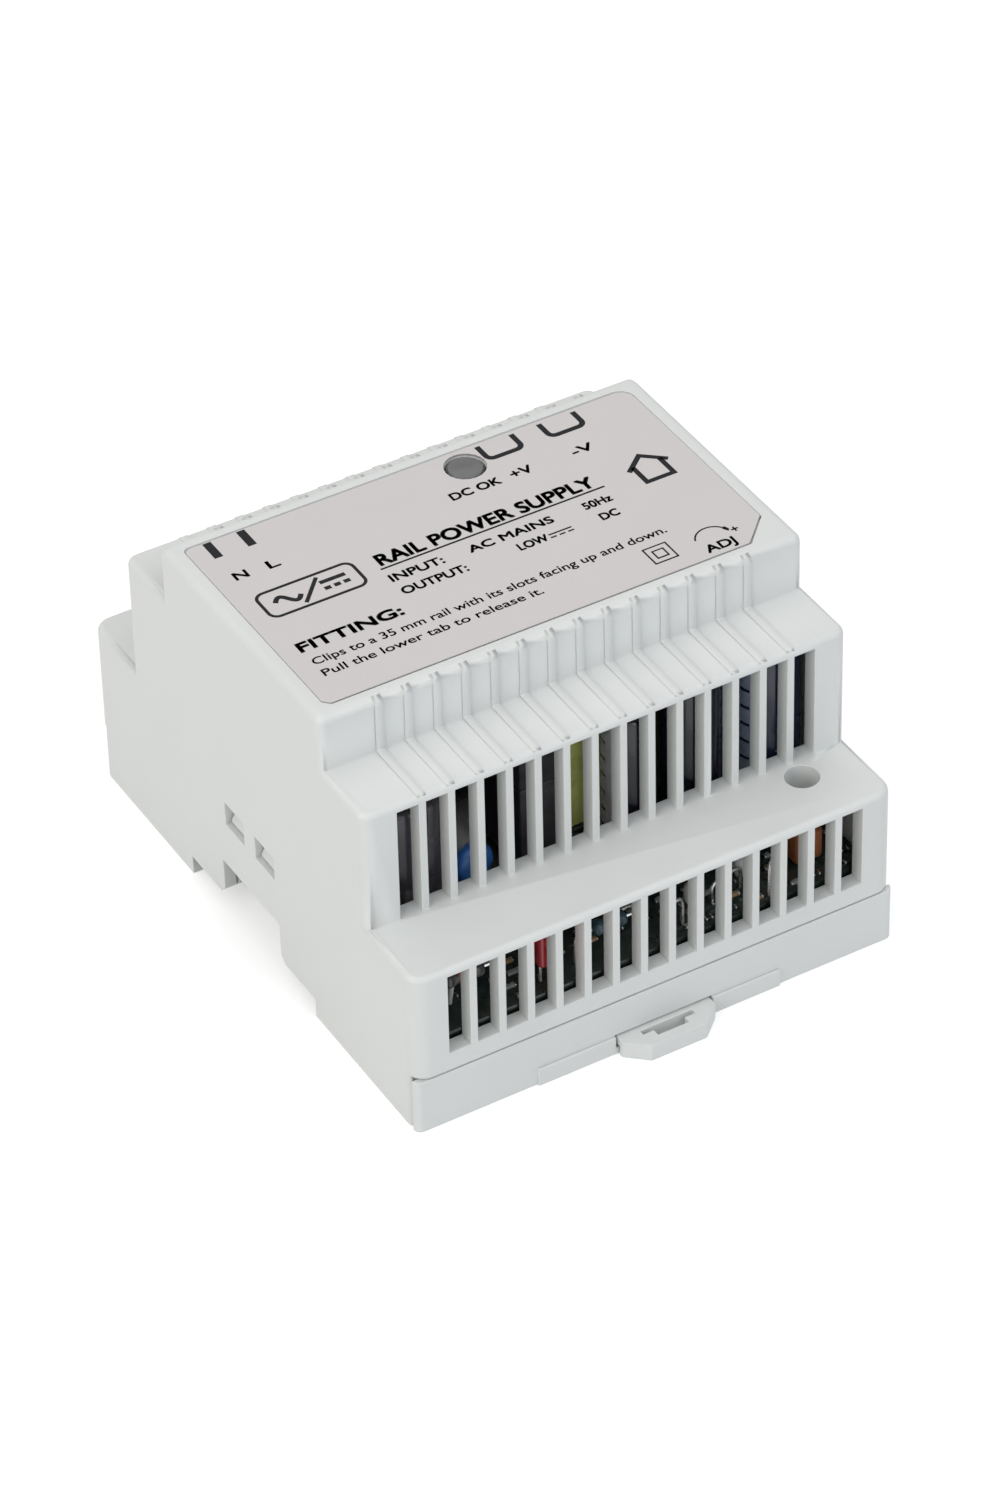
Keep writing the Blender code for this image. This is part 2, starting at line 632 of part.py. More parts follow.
def latch_tab_outline():
    """The pull tab seen from above, as (x, y) points: wide at the wall and narrow at its tip."""
    wall = LATCH_WIDTH / 2
    tip = LATCH_TIP_WIDTH / 2
    front = -HOUSING_LENGTH / 2 - LATCH_TAB_REACH
    corner = LATCH_TAB_CORNER
    shoulder = LATCH_FRONT - corner
    left = [(-wall, LATCH_FRONT, 0), (-wall, shoulder, 0), (-tip, front, corner)]
    right = [(tip, front, corner), (wall, shoulder, 0), (wall, LATCH_FRONT, 0)]
    return [(LATCH_CENTRE + x, y) for x, y in rounded(left + right)]


def make_rail_latch():
    """The sliding latch: pull tab, flanged body and a blade that holds the rail's near flange."""
    end = -FOOT_END + LATCH_BLADE_REACH
    near = LATCH_FRONT - GAP
    foot = GAP / 2
    blade = LATCH_BLADE_HEIGHT
    ramp = [(near, foot), (end - blade, foot), (end, blade - 2 * GAP), (end, blade), (near, blade)]
    latch = prism("rail_latch", ramp, "X", *centred(LATCH_CENTRE, LATCH_BODY_WIDTH))
    flange_end = -HOUSING_LENGTH / 2 + LATCH_FLANGE_LENGTH
    flange = box(
        "flange", centred(LATCH_CENTRE, LATCH_WIDTH), (near, flange_end),
        (LATCH_HEIGHT - LATCH_FLANGE, LATCH_HEIGHT),
    )
    tab = prism("tab", latch_tab_outline(), "Z", 0.0, LATCH_HEIGHT)
    unite(latch, flange, tab)
    window = (SPRING_START - SPRING_PEG - 2 * GAP, SPRING_END + GAP)
    cut(latch, box("window", centred(LATCH_CENTRE, SPRING_WINDOW_WIDTH), window, both(FAR)))
    bar = -HOUSING_LENGTH / 2 - LATCH_TAB_REACH + LATCH_TAB_BAR
    cut(latch, box("driver_slot", centred(LATCH_CENTRE, 5.0 * MM), (bar, LATCH_FRONT), both(FAR)))
    wide = (LATCH_FRONT - 0.8 * MM, LATCH_FRONT)
    cut(latch, box("driver_slot", centred(LATCH_CENTRE, 8.4 * MM), wide, both(FAR)))
    return finish(latch, HOUSING_PLASTIC, (LATCH_CENTRE, SPRING_END, SPRING_HEIGHT))


def make_latch_spring():
    """A compression spring, drawn as a helix along Y between the peg and the latch."""
    per_turn = 10
    steps = SPRING_TURNS * per_turn
    rise = SPRING_LENGTH - 2 * SPRING_WIRE
    data = bpy.data.curves.new("latch_spring", "CURVE")
    data.dimensions = "3D"
    data.bevel_depth = SPRING_WIRE
    data.bevel_resolution = 1
    data.use_fill_caps = True
    spline = data.splines.new("POLY")
    spline.points.add(steps)
    for step, point in enumerate(spline.points):
        angle = 2 * math.pi * step / per_turn
        x = SPRING_RADIUS * math.cos(angle)
        z = SPRING_RADIUS * math.sin(angle)
        y = SPRING_WIRE + rise * step / steps
        point.co = (x, y, z, 1.0)
    data.materials.append(SPRING_STEEL)
    spring = bpy.data.objects.new("latch_spring", data)
    bpy.context.scene.collection.objects.link(spring)
    spring.location = (LATCH_CENTRE, SPRING_START, SPRING_HEIGHT)
    return spring


# ---------------------------------------------------------------- label and status light


def make_front_label():
    """The printed label in its recess, with a hole for the status light."""
    low = HOUSING_HEIGHT - LABEL_RECESS + GAP
    label = prism("front_label", label_outline(), "Z", low, low + LABEL_THICKNESS)
    hole = cylinder("hole", (LIGHT_X, LIGHT_Y), LIGHT_RADIUS + GAP, low - GAP, low + CUT_THROUGH)
    cut(label, hole)
    return finish(label, LABEL_FILM, (0.0, 0.0, low))


def make_status_light():
    """A clear window in the nose, and under it an LED on a spacer tube that stands on the board."""
    ceiling = HOUSING_HEIGHT - TOP_WALL
    flange_top = ceiling - GAP
    flange = LIGHT_RADIUS + LIGHT_FLANGE
    profile = [(0.0, flange_top - LIGHT_FLANGE), (flange, flange_top - LIGHT_FLANGE), (flange, flange_top)]
    profile += [(LIGHT_RADIUS, flange_top), (LIGHT_RADIUS, HOUSING_HEIGHT - 2 * GAP)]
    profile += [(LIGHT_RADIUS - GAP, HOUSING_HEIGHT - GAP), (0.0, HOUSING_HEIGHT - GAP)]
    place = (LIGHT_X, LIGHT_Y)
    window = turned("led_window", profile, place)
    finish(window, CLEAR_PLASTIC, (*place, ceiling), smooth=True)

    led_top = flange_top - LIGHT_FLANGE - GAP
    led_low = led_top - LED_LENGTH
    dome = [
        (LED_RADIUS * math.cos(a), led_top - LED_RADIUS + LED_RADIUS * math.sin(a))
        for a in (math.radians(15 * i) for i in range(6))
    ]
    rim = LED_RADIUS + GAP
    profile = [(0.0, led_low), (rim, led_low), (rim, led_low + GAP), (LED_RADIUS, led_low + GAP)]
    led = turned("status_led", profile + dome + [(0.0, led_top)], place, 16)
    for x in centred(LIGHT_X, LED_LEG_SPACING):
        leg = box("leg", centred(x, LED_LEG), centred(LIGHT_Y, LED_LEG), (SEAT, led_low + GAP / 2))
        unite(led, leg)
    finish(led, LED_PLASTIC, (*place, SEAT))

    spacer_top = led_low - GAP
    bore = LED_LEG_SPACING / 2 + LED_LEG
    profile = [(bore, SEAT), (LED_SPACER_RADIUS, SEAT), (LED_SPACER_RADIUS, spacer_top), (bore, spacer_top)]
    spacer = turned("led_spacer", profile, place, 16)
    return finish(spacer, NYLON, (*place, SEAT), smooth=True)


# ---------------------------------------------------------------- circuit board


def make_circuit_board():
    """The board on the base's posts, notched round the snap arms, and its two screws."""
    x = WALL_INSIDE - BOARD_EDGE_GAP
    y = END_INSIDE - BOARD_EDGE_GAP
    board = box("circuit_board", both(x), both(y), (BOARD_BOTTOM, BOARD_TOP))
    arm = BASE_HALF - GAP / 2 - SNAP_ARM - GAP
    notch = max(SNAP_CENTRES) + SNAP_WIDTH / 2, min(SNAP_CENTRES) - SNAP_WIDTH / 2
    for side in (-1, 1):
        cut(board, box("notch", tuple(sorted((side * arm, side * FAR))), (notch[1], notch[0]), both(FAR)))
        place = (side * BOARD_SCREW_X, BOARD_SCREW_Y)
        hole = cylinder("hole", place, BOARD_SCREW_RADIUS + GAP, BOARD_BOTTOM - GAP, BOARD_TOP + GAP)
        cut(board, hole)
    finish(board, BOARD_LAMINATE, (0.0, 0.0, BOARD_BOTTOM))

    for number, side in enumerate((-1, 1), start=1):
        shank = BOARD_SCREW_RADIUS
        head = BOARD_SCREW_HEAD
        low = BOARD_BOTTOM - BOARD_SCREW_LENGTH + GAP
        profile = [(0.0, low), (shank, low + shank), (shank, SEAT), (head, SEAT)]
        profile += [(head * 0.9, SEAT + head * 0.5), (head * 0.5, SEAT + head * 0.7), (0.0, SEAT + head * 0.7)]
        place = (side * BOARD_SCREW_X, BOARD_SCREW_Y)
        screw = turned(f"board_screw_{number}", profile, place, 16)
        slot = box("slot", both(FAR), both(SCREW_SLOT / 2), (SEAT + head * 0.45, SEAT + head))
        slot.data.transform(Matrix.Translation((*place, 0.0)))
        cut(screw, slot)
        finish(screw, PLATED_STEEL, (*place, SEAT))


# ---------------------------------------------------------------- terminals


def make_terminal_block(name, middle, poles):
    """A screw terminal block with one clamp chamber and one screw bore for each pole."""
    width = len(poles) * TERMINAL_PITCH
    span = (TERMINAL_FACE - TERMINAL_DEPTH, TERMINAL_FACE)
    block = box(name, centred(middle, width), span, (SEAT, SEAT + TERMINAL_HEIGHT))
    chambers = []
    for x in poles:
        depth = (TERMINAL_FACE - CHAMBER_DEPTH, TERMINAL_FACE + CUT_THROUGH)
        chambers.append(box("chamber", centred(x, CHAMBER_WIDTH), depth, (CHAMBER_BOTTOM, CHAMBER_TOP)))
    cut(block, join("chambers", chambers))
    necks = []
    heads = []
    for x in poles:
        place = (x, TERMINAL_AXIS)
        head_bottom = CHAMBER_TOP + TERMINAL_NECK
        necks.append(cylinder("neck", place, SCREW_SHANK + GAP / 2, CHAMBER_TOP - GAP, head_bottom + GAP))
        heads.append(cylinder("bore", place, SCREW_HEAD + GAP, head_bottom, SEAT + 2 * TERMINAL_HEIGHT))
    cut(block, join("necks", necks), join("heads", heads))
    return finish(block, TERMINAL_PLASTIC, (middle, TERMINAL_AXIS, SEAT))


def make_terminal_screw(name, x):
    """A slotted clamp screw, held by its head and turning on its own upright axis."""
    head_low = CHAMBER_TOP + TERMINAL_NECK + GAP
    head_top = head_low + SCREW_HEAD_HEIGHT
    tip = CHAMBER_BOTTOM + GAP + CAGE_HEIGHT - CAGE_WALL - GAP
    profile = [(0.0, tip), (SCREW_SHANK - GAP, tip), (SCREW_SHANK, tip + GAP), (SCREW_SHANK, head_low)]
    profile += [(SCREW_HEAD, head_low), (SCREW_HEAD, head_top - GAP), (SCREW_HEAD - GAP, head_top)]
    screw = turned(name, profile + [(0.0, head_top)], (x, TERMINAL_AXIS), 16)
    groove = box(
        "groove", centred(x, 4 * SCREW_HEAD), centred(TERMINAL_AXIS, SCREW_SLOT),
        (head_top - SCREW_HEAD_HEIGHT / 2, head_top + CUT_THROUGH),
    )
    cut(screw, groove)
    return finish(screw, PLATED_STEEL, (x, TERMINAL_AXIS, head_low))


def make_clamp_cage(name, x):
    """A square clamp cage, open along Y for the wire, that the screw draws up."""
    low = CHAMBER_BOTTOM + GAP
    outer = CHAMBER_WIDTH - 2 * GAP
    height = (low, low + CAGE_HEIGHT)
    depth = centred(TERMINAL_AXIS, CAGE_DEPTH)
    cage = box(name, centred(x, outer), depth, height)
    inner = (low + CAGE_WALL, low + CAGE_HEIGHT - CAGE_WALL)
    cut(cage, box("way", centred(x, outer - 2 * CAGE_WALL), both(FAR), inner))
    top = cylinder("thread", (x, TERMINAL_AXIS), SCREW_SHANK + GAP / 2, inner[1] - GAP, FAR, segments=16)
    cut(cage, top)
    return finish(cage, PLATED_STEEL, (x, TERMINAL_AXIS, low))


def make_terminals():
    """Both blocks, and a screw and a cage for each pole."""
    make_terminal_block("input_terminal_block", INPUT_CENTRE, INPUT_POLES)
    make_terminal_block("output_terminal_block", OUTPUT_CENTRE, OUTPUT_POLES)
    poles = dict(zip(("neutral", "line"), INPUT_POLES))
    poles.update(zip(("plus_1", "plus_2", "minus_1", "minus_2"), OUTPUT_POLES))
    for pole, x in poles.items():
        make_terminal_screw(f"{pole}_screw", x)
        make_clamp_cage(f"{pole}_cage", x)


# ---------------------------------------------------------------- voltage adjuster


def make_trimmer():
    """The output voltage trimmer under the guide tube, and the rotor that a screwdriver turns."""
    place = (TRIMMER_X, TRIMMER_Y)
    top = SEAT + TRIMMER_HEIGHT
    x = centred(TRIMMER_X, TRIMMER_SIZE)
    y = centred(TRIMMER_Y, TRIMMER_SIZE)
    body = box("trimmer_body", x, y, (SEAT, top), corner=0.6 * MM, corner_segments=2)
    well = top - ROTOR_DEPTH
    cut(body, cylinder("well", place, ROTOR_RADIUS + GAP, well, top + CUT_THROUGH))
    finish(body, BROWN_PHENOLIC, (*place, SEAT))

    low = well + GAP
    high = top + ROTOR_PROUD
    edge = ROTOR_RADIUS
    profile = [(0.0, low), (edge, low), (edge, high - GAP), (edge - GAP, high), (0.0, high)]
    rotor = turned("trimmer_rotor", profile, place)
    slot = box("slot", centred(TRIMMER_X, FAR), centred(TRIMMER_Y, ROTOR_SLOT), (high - 2 * ROTOR_SLOT, FAR))
    cut(rotor, slot)
    finish(rotor, WHITE_ROTOR, (*place, low))


# ---------------------------------------------------------------- parts on the board


def make_can(name, x, y, radius, height, look):
    """An electrolytic capacitor: a sleeved can with a rolled bead near its foot."""
    groove = radius * 0.93
    edge = 0.5 * MM
    foot = 2.2 * MM
    bead = 0.9 * MM
    top = SEAT + height
    profile = [(0.0, SEAT), (radius - edge, SEAT), (radius, SEAT + edge), (radius, SEAT + foot)]
    profile += [(groove, SEAT + foot + bead / 2), (radius, SEAT + foot + bead), (radius, top - edge)]
    profile += [(radius - edge, top), (radius * 0.75, top), (radius * 0.72, top - edge), (0.0, top - edge)]
    return finish(turned(name, profile, (x, y), 24), look, (x, y, SEAT), smooth=True)


def make_disc(name, x, y, radius, thickness, lift, look):
    """A ceramic disc that stands on two leads."""
    centre = SEAT + lift + radius
    disc = cylinder(name, (x, centre), radius, y - thickness / 2, y + thickness / 2, axis="Y")
    bm = bmesh.new()
    bm.from_mesh(disc.data)
    rims = [e for e in bm.edges if abs(e.verts[0].co.y - e.verts[1].co.y) < 1e-7]
    bevel(bm, rims, thickness / 4, 2)
    bm.to_mesh(disc.data)
    bm.free()
    lead = 0.6 * MM
    for side in (-1, 1):
        middle = x + side * radius * 0.55
        reach = centre - radius * 0.5
        unite(disc, box("lead", centred(middle, lead), centred(y, lead), (SEAT, reach)))
    return finish(disc, look, (x, y, SEAT))


def make_block_part(name, x, y, z, look, leads, corner=0.5 * MM):
    """A moulded part between the limits given, raised on leads at the (x, y) places given."""
    part = box(name, x, y, z, corner=corner, fillet=corner, corner_segments=2, fillet_segments=2)
    size = 0.6 * MM
    for px, py in leads:
        unite(part, box("lead", centred(px, size), centred(py, size), (SEAT, z[0] + size)))
    return finish(part, look, (sum(x) / 2, sum(y) / 2, SEAT))


def make_ring(name, x, y, outer, inner, height, look):
    """A wound ring core that lies flat on the board."""
    edge = (outer - inner) / 4
    top = SEAT + height
    profile = [(inner + edge, SEAT), (outer - edge, SEAT), (outer, SEAT + edge), (outer, top - edge)]
    profile += [(outer - edge, top), (inner + edge, top), (inner, top - edge), (inner, SEAT + edge)]
    return finish(turned(name, profile, (x, y), 24), look, (x, y, SEAT), smooth=True)


def make_power_stage(device, heatsink, screw, plate, side, y, depth):
    """A plate heatsink that stands on the board and carries a tabbed power device on one face.

    plate is the plate's face that the device sits on, and side says which way that face looks along X.
    """
    thickness = 1.5 * MM
    height = 27.5 * MM
    fold = 4.0 * MM
    bolt = 1.4 * MM
    tab_low = SEAT + 9.0 * MM
    tab_high = tab_low + 15.5 * MM
    bolt_z = tab_high - 3.0 * MM
    back = plate - side * thickness
    top = SEAT + height
    outline = [(plate, SEAT), (plate, top), (back - side * fold, top)]
    outline += [(back - side * fold, top - thickness), (back, top - thickness), (back, SEAT)]
    sink = prism(heatsink, outline, "Y", *centred(y, depth))
    hole_span = sorted((plate + side * CUT_THROUGH, back - side * CUT_THROUGH))
    cut(sink, cylinder("hole", (y, bolt_z), bolt + GAP, *hole_span, axis="X", segments=16))
    finish(sink, ALUMINIUM, (plate, y, SEAT))

    near = plate + side * GAP
    tab = tuple(sorted((near, near + side * 1.2 * MM)))
    body = tuple(sorted((near, near + side * 4.4 * MM)))
    width = centred(y, 10.0 * MM)
    made = box(device, body, width, (tab_low, tab_low + 9.0 * MM))
    unite(made, box("tab", tab, width, (tab_low + GAP, tab_high)))
    for shift in (-2.54 * MM, 0.0, 2.54 * MM):
        lead = centred(near + side * 2.4 * MM, 0.5 * MM)
        unite(made, box("lead", lead, centred(y + shift, 0.8 * MM), (SEAT, tab_low + GAP)))
    cut(made, cylinder("hole", (y, bolt_z), bolt + GAP, *both(FAR), axis="X", segments=16))
    finish(made, BLACK_PLASTIC, (near, y, SEAT))

    seat = near + side * (1.2 * MM + GAP)
    shank = sorted((seat + side * GAP, back - side * 1.2 * MM))
    head = sorted((seat, seat + side * 1.7 * MM))
    bolt_part = cylinder(screw, (y, bolt_z), bolt, *shank, axis="X", segments=12)
    unite(bolt_part, cylinder("head", (y, bolt_z), 2.6 * MM, *head, axis="X", segments=16))
    finish(bolt_part, PLATED_STEEL, (seat, y, bolt_z))


def make_transformer():
    """A ferrite frame and the taped winding in its window."""
    x = (-6.5 * MM, 15.5 * MM)
    y = (-20.5 * MM, -8.5 * MM)
    top = 43.0 * MM
    leg = 6.0 * MM
    yoke = 4.5 * MM
    winding_depth = (-22.0 * MM, -7.0 * MM)
    core = box("transformer_core", x, y, (SEAT, top))
    window = box("window", (x[0] + leg, x[1] - leg), both(FAR), (SEAT + yoke, top - yoke))
    cut(core, window)
    finish(core, FERRITE, (sum(x) / 2, sum(y) / 2, SEAT))
    winding = box(
        "transformer_winding", (x[0] + leg + GAP, x[1] - leg - GAP), winding_depth,
        (SEAT + yoke + GAP, top - yoke - GAP), corner=1.2 * MM,
    )
    finish(winding, YELLOW_TAPE, (sum(x) / 2, sum(winding_depth) / 2, SEAT + yoke))


def make_axial_resistor(name, x, y, z, length, radius, reach, look):
    """A resistor with its body along X and its leads bent down to the board."""
    body = cylinder(name, (y, z), radius, *centred(x, length), axis="X", segments=16)
    lead = 0.6 * MM
    span = centred(x, length + 2 * reach)
    unite(body, box("lead", span, centred(y, lead), centred(z, lead)))
    for end, inward in ((span[0], lead), (span[1] - lead, lead)):
        unite(body, box("leg", (end, end + inward), centred(y, lead), (SEAT, z)))
    return finish(body, look, (x, y, SEAT))


def make_board_parts():
    """Everything else that stands on the board, from the input side to the output side."""
    make_block_part(
        "fuse", (-26.0 * MM, -18.4 * MM), (26.2 * MM, 33.8 * MM), (SEAT + 0.6 * MM, 21.6 * MM),
        BLACK_PLASTIC, [(-24.7 * MM, 30.0 * MM), (-19.7 * MM, 30.0 * MM)], corner=2.0 * MM,
    )
    make_disc("inrush_thermistor", -12.5 * MM, 29.5 * MM, 4.8 * MM, 3.6 * MM, 2.0 * MM, GREEN_CERAMIC)
    make_disc("surge_varistor", -12.5 * MM, 22.0 * MM, 4.4 * MM, 3.4 * MM, 2.0 * MM, BLUE_CERAMIC)
    make_ring("emi_choke", -25.5 * MM, 15.0 * MM, 8.2 * MM, 3.4 * MM, 9.5 * MM, COPPER_WIRE)
    make_block_part(
        "x_capacitor", (-34.2 * MM, -18.0 * MM), (-5.6 * MM, 2.9 * MM), (SEAT, 28.0 * MM),
        GREY_PLASTIC, [],
    )
    bridge = [((-32.5 + 3.8 * i) * MM, -10.6 * MM) for i in range(4)]
    make_block_part(
        "bridge_rectifier", (-34.0 * MM, -19.6 * MM), (-12.3 * MM, -8.9 * MM), (16.6 * MM, 26.5 * MM),
        BLACK_PLASTIC, bridge,
    )
    make_can("bulk_capacitor", -27.3 * MM, -22.5 * MM, 7.2 * MM, 27.0 * MM, BLACK_SLEEVE)
    make_disc("y_capacitor", -16.6 * MM, -24.6 * MM, 3.1 * MM, 2.6 * MM, 6.7 * MM, BLUE_CERAMIC)
    make_block_part(
        "film_capacitor", (-16.8 * MM, -13.6 * MM), (-43.0 * MM, -39.4 * MM), (16.8 * MM, 24.2 * MM),
        RED_FILM, [(-16.0 * MM, -41.2 * MM), (-14.4 * MM, -41.2 * MM)],
    )
    make_axial_resistor(
        "start_resistor", -28.0 * MM, -41.4 * MM, 20.4 * MM, 6.2 * MM, 1.2 * MM, 3.0 * MM, RESISTOR_PAINT
    )
    make_axial_resistor(
        "snubber_resistor", -4.5 * MM, -40.6 * MM, 18.2 * MM, 6.2 * MM, 1.2 * MM, 2.6 * MM, RESISTOR_PAINT
    )
    make_transformer()
    make_power_stage(
        "switching_transistor", "primary_heatsink", "transistor_screw", -13.5 * MM, 1, 0.0, 26.0 * MM
    )
    make_power_stage(
        "output_diode", "secondary_heatsink", "diode_screw", 21.0 * MM, 1, -3.0 * MM, 26.0 * MM
    )
    make_can("output_capacitor_1", 7.0 * MM, -27.2 * MM, 3.9 * MM, 29.0 * MM, BLACK_SLEEVE)
    make_can("output_capacitor_2", 17.2 * MM, -26.2 * MM, 4.9 * MM, 30.0 * MM, BLACK_SLEEVE)
    make_can("output_capacitor_3", 30.2 * MM, -26.2 * MM, 4.9 * MM, 30.0 * MM, BLACK_SLEEVE)
    make_ring("output_inductor", 29.4 * MM, 15.5 * MM, 6.2 * MM, 2.6 * MM, 8.5 * MM, COPPER_WIRE)
    opto = [(x * MM, y * MM) for x in (-2.0, 0.6) for y in (22.0, 28.2)]
    make_block_part(
        "optocoupler", (-3.2 * MM, 1.8 * MM), (21.6 * MM, 28.6 * MM), (SEAT + 0.6 * MM, 17.4 * MM),
        BLACK_PLASTIC, opto, corner=0.3 * MM,
    )
    chip = [((-4.2 + 2.54 * i) * MM, y * MM) for i in range(4) for y in (6.4, 12.6)]
    make_block_part(
        "control_chip", (-5.2 * MM, 4.4 * MM), (6.0 * MM, 13.0 * MM), (SEAT + 0.6 * MM, 17.2 * MM),
        BLACK_PLASTIC, chip, corner=0.3 * MM,
    )


# ---------------------------------------------------------------- assembly


def main():
    """Builds every node, then hangs them all from the frame at the middle of the whole box."""
    make_front_cover()
    make_rear_base()
    make_rail_latch()
    make_latch_spring()
    make_front_label()
    make_status_light()
    make_circuit_board()
    make_terminals()
    make_trimmer()
    make_board_parts()
    nodes = list(bpy.data.objects)
    frame = bpy.data.objects.new("frame", None)
    bpy.context.scene.collection.objects.link(frame)
    frame.location = (0.0, LATCH_TAB_REACH / 2, 0.0)
    for node in nodes:
        node.parent = frame


main()
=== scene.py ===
# %% [markdown]
# # A slim power supply for a top hat rail
#
# This lesson dresses a finished CAD model of a rail-mounted power supply. The CAD model is the frame:
# every size and place comes from it, and each piece made here rides on one of its bodies. The housing
# is pale moulded plastic, so most of the work is in soft edges, a fine moulded grain and crisp print,
# and then in the small coloured parts that show through the grilles.

# %% Load the frame
import math
import random

import bmesh
import bpy
from mathutils import Matrix, Vector


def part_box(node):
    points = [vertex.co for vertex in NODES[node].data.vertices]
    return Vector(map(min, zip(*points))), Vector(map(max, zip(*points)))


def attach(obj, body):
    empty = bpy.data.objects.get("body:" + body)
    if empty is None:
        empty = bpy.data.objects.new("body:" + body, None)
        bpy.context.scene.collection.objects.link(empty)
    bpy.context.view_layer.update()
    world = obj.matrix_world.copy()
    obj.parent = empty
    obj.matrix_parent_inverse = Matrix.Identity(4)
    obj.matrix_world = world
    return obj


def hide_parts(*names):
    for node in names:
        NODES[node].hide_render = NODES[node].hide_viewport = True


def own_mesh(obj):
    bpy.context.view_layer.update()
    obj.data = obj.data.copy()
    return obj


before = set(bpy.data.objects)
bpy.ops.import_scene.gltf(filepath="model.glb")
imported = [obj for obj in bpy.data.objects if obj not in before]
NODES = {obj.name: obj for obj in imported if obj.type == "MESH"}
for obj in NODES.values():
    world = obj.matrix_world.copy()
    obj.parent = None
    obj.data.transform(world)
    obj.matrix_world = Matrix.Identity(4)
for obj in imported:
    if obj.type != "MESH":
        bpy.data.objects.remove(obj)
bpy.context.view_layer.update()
MM = 0.001
print("frame loaded:", len(NODES), "nodes")

# %% [markdown]
# The housing was drawn about the middle of the rail, while the frame's origin is under the middle of
# the whole box, latch tab included. One shift along Y turns housing places into frame places, and it
# is measured from the cover so that it stays right when the CAD changes.

# %% Housing places
COVER_LOW, COVER_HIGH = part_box("front_cover")
RAIL_MIDDLE = (COVER_LOW.y + COVER_HIGH.y) / 2 / MM
LABEL_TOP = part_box("front_label")[1].z / MM
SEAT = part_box("transformer_core")[0].z / MM


def housing(x, y, z=0.0):
    """A place in millimetres about the middle of the rail, as a place in the frame in metres."""
    return Vector((x, y + RAIL_MIDDLE, z)) * MM


def node_box(name):
    """A CAD node's lowest and highest corner, in millimetres about the middle of the rail."""
    low, high = (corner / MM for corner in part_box(name))
    shift = Vector((0.0, RAIL_MIDDLE, 0.0))
    return low - shift, high - shift


def centre(low, high):
    """The middle of a box, seen from above."""
    return (low.x + high.x) / 2, (low.y + high.y) / 2


print("rail middle at y =", round(RAIL_MIDDLE, 3), "mm, label at z =", round(LABEL_TOP, 3), "mm")

# %% [markdown]
# The camera looks down on the latch side from the left. It is set first, because every later choice
# is judged through it. A long lens stands well back, as it does on a product table, so that the
# housing's edges stay nearly parallel.

# %% Camera
VIEW_AZIMUTH = math.radians(-29.638)
VIEW_ELEVATION = math.radians(39.306)
VIEW_ROLL = math.radians(-1.511)
CAMERA_PLACE = housing(-309.53, -547.9, 533.78)

back = Vector((
    math.sin(VIEW_AZIMUTH) * math.cos(VIEW_ELEVATION),
    -math.cos(VIEW_AZIMUTH) * math.cos(VIEW_ELEVATION),
    math.sin(VIEW_ELEVATION),
))
level = (-back).cross(Vector((0, 0, 1))).normalized()
upward = level.cross(-back)
right = math.cos(VIEW_ROLL) * level + math.sin(VIEW_ROLL) * upward
up = -math.sin(VIEW_ROLL) * level + math.cos(VIEW_ROLL) * upward

camera_data = bpy.data.cameras.new("camera")
camera_data.lens = 137.2
camera_data.sensor_width = 36
camera_data.sensor_fit = "AUTO"
camera_data.clip_start = 0.01
camera = bpy.data.objects.new("camera", camera_data)
camera.matrix_world = Matrix.Translation(CAMERA_PLACE) @ Matrix((right, up, back)).transposed().to_4x4()
bpy.context.scene.collection.objects.link(camera)
bpy.context.scene.camera = camera
bpy.context.scene.view_settings.view_transform = "Standard"
print("camera at", [round(c, 3) for c in CAMERA_PLACE])

# %% [markdown]
# ## Light
#
# Pale plastic shows its shape only when its three directions get different light. A large warm lamp
# on the left lights the long side, a cooler one in front lights the grilles, and a wide one above
# evens out the label. All of them are large, so the shadows are soft.


# %% Lamps
def area_lamp(name, place, target, size, power, color):
    """A square lamp at one place that faces another, in frame metres."""
    data = bpy.data.lights.new(name, "AREA")
    data.size = size
    data.energy = power
    data.color = color
    lamp = bpy.data.objects.new(name, data)
    lamp.location = place
    lamp.rotation_euler = (Vector(target) - Vector(place)).to_track_quat("-Z", "Y").to_euler()
    bpy.context.scene.collection.objects.link(lamp)
    return lamp


HEART = Vector((0.0, 0.0, 0.025))
area_lamp("lamp_left", (-1.28, -0.42, 0.8), HEART, 1.2, 8.5, (1.0, 0.985, 0.945))
area_lamp("lamp_front", (0.25, -1.4, 0.75), HEART, 1.0, 4.2, (0.84, 0.95, 1.1))
area_lamp("lamp_above", (0.1, 0.05, 1.5), HEART, 2.6, 13.9, (1.0, 0.992, 0.99))
print("three lamps")

# %% [markdown]
# The world is plain white wherever the camera, a mirror or a clear piece looks at it, and a weaker
# white for the light it sheds, so that the backdrop is white without washing out the housing.


# %% World
def seen_by(tree, *rays):
    """One where any of these kinds of ray arrives, and zero elsewhere."""
    path = tree.nodes.new("ShaderNodeLightPath")
    seen = path.outputs[rays[0]]
    for ray in rays[1:]:
        either = tree.nodes.new("ShaderNodeMath")
        either.operation = "MAXIMUM"
        tree.links.new(seen, either.inputs[0])
        tree.links.new(path.outputs[ray], either.inputs[1])
        seen = either.outputs[0]
    return seen


WORLD_GLOW = 0.42

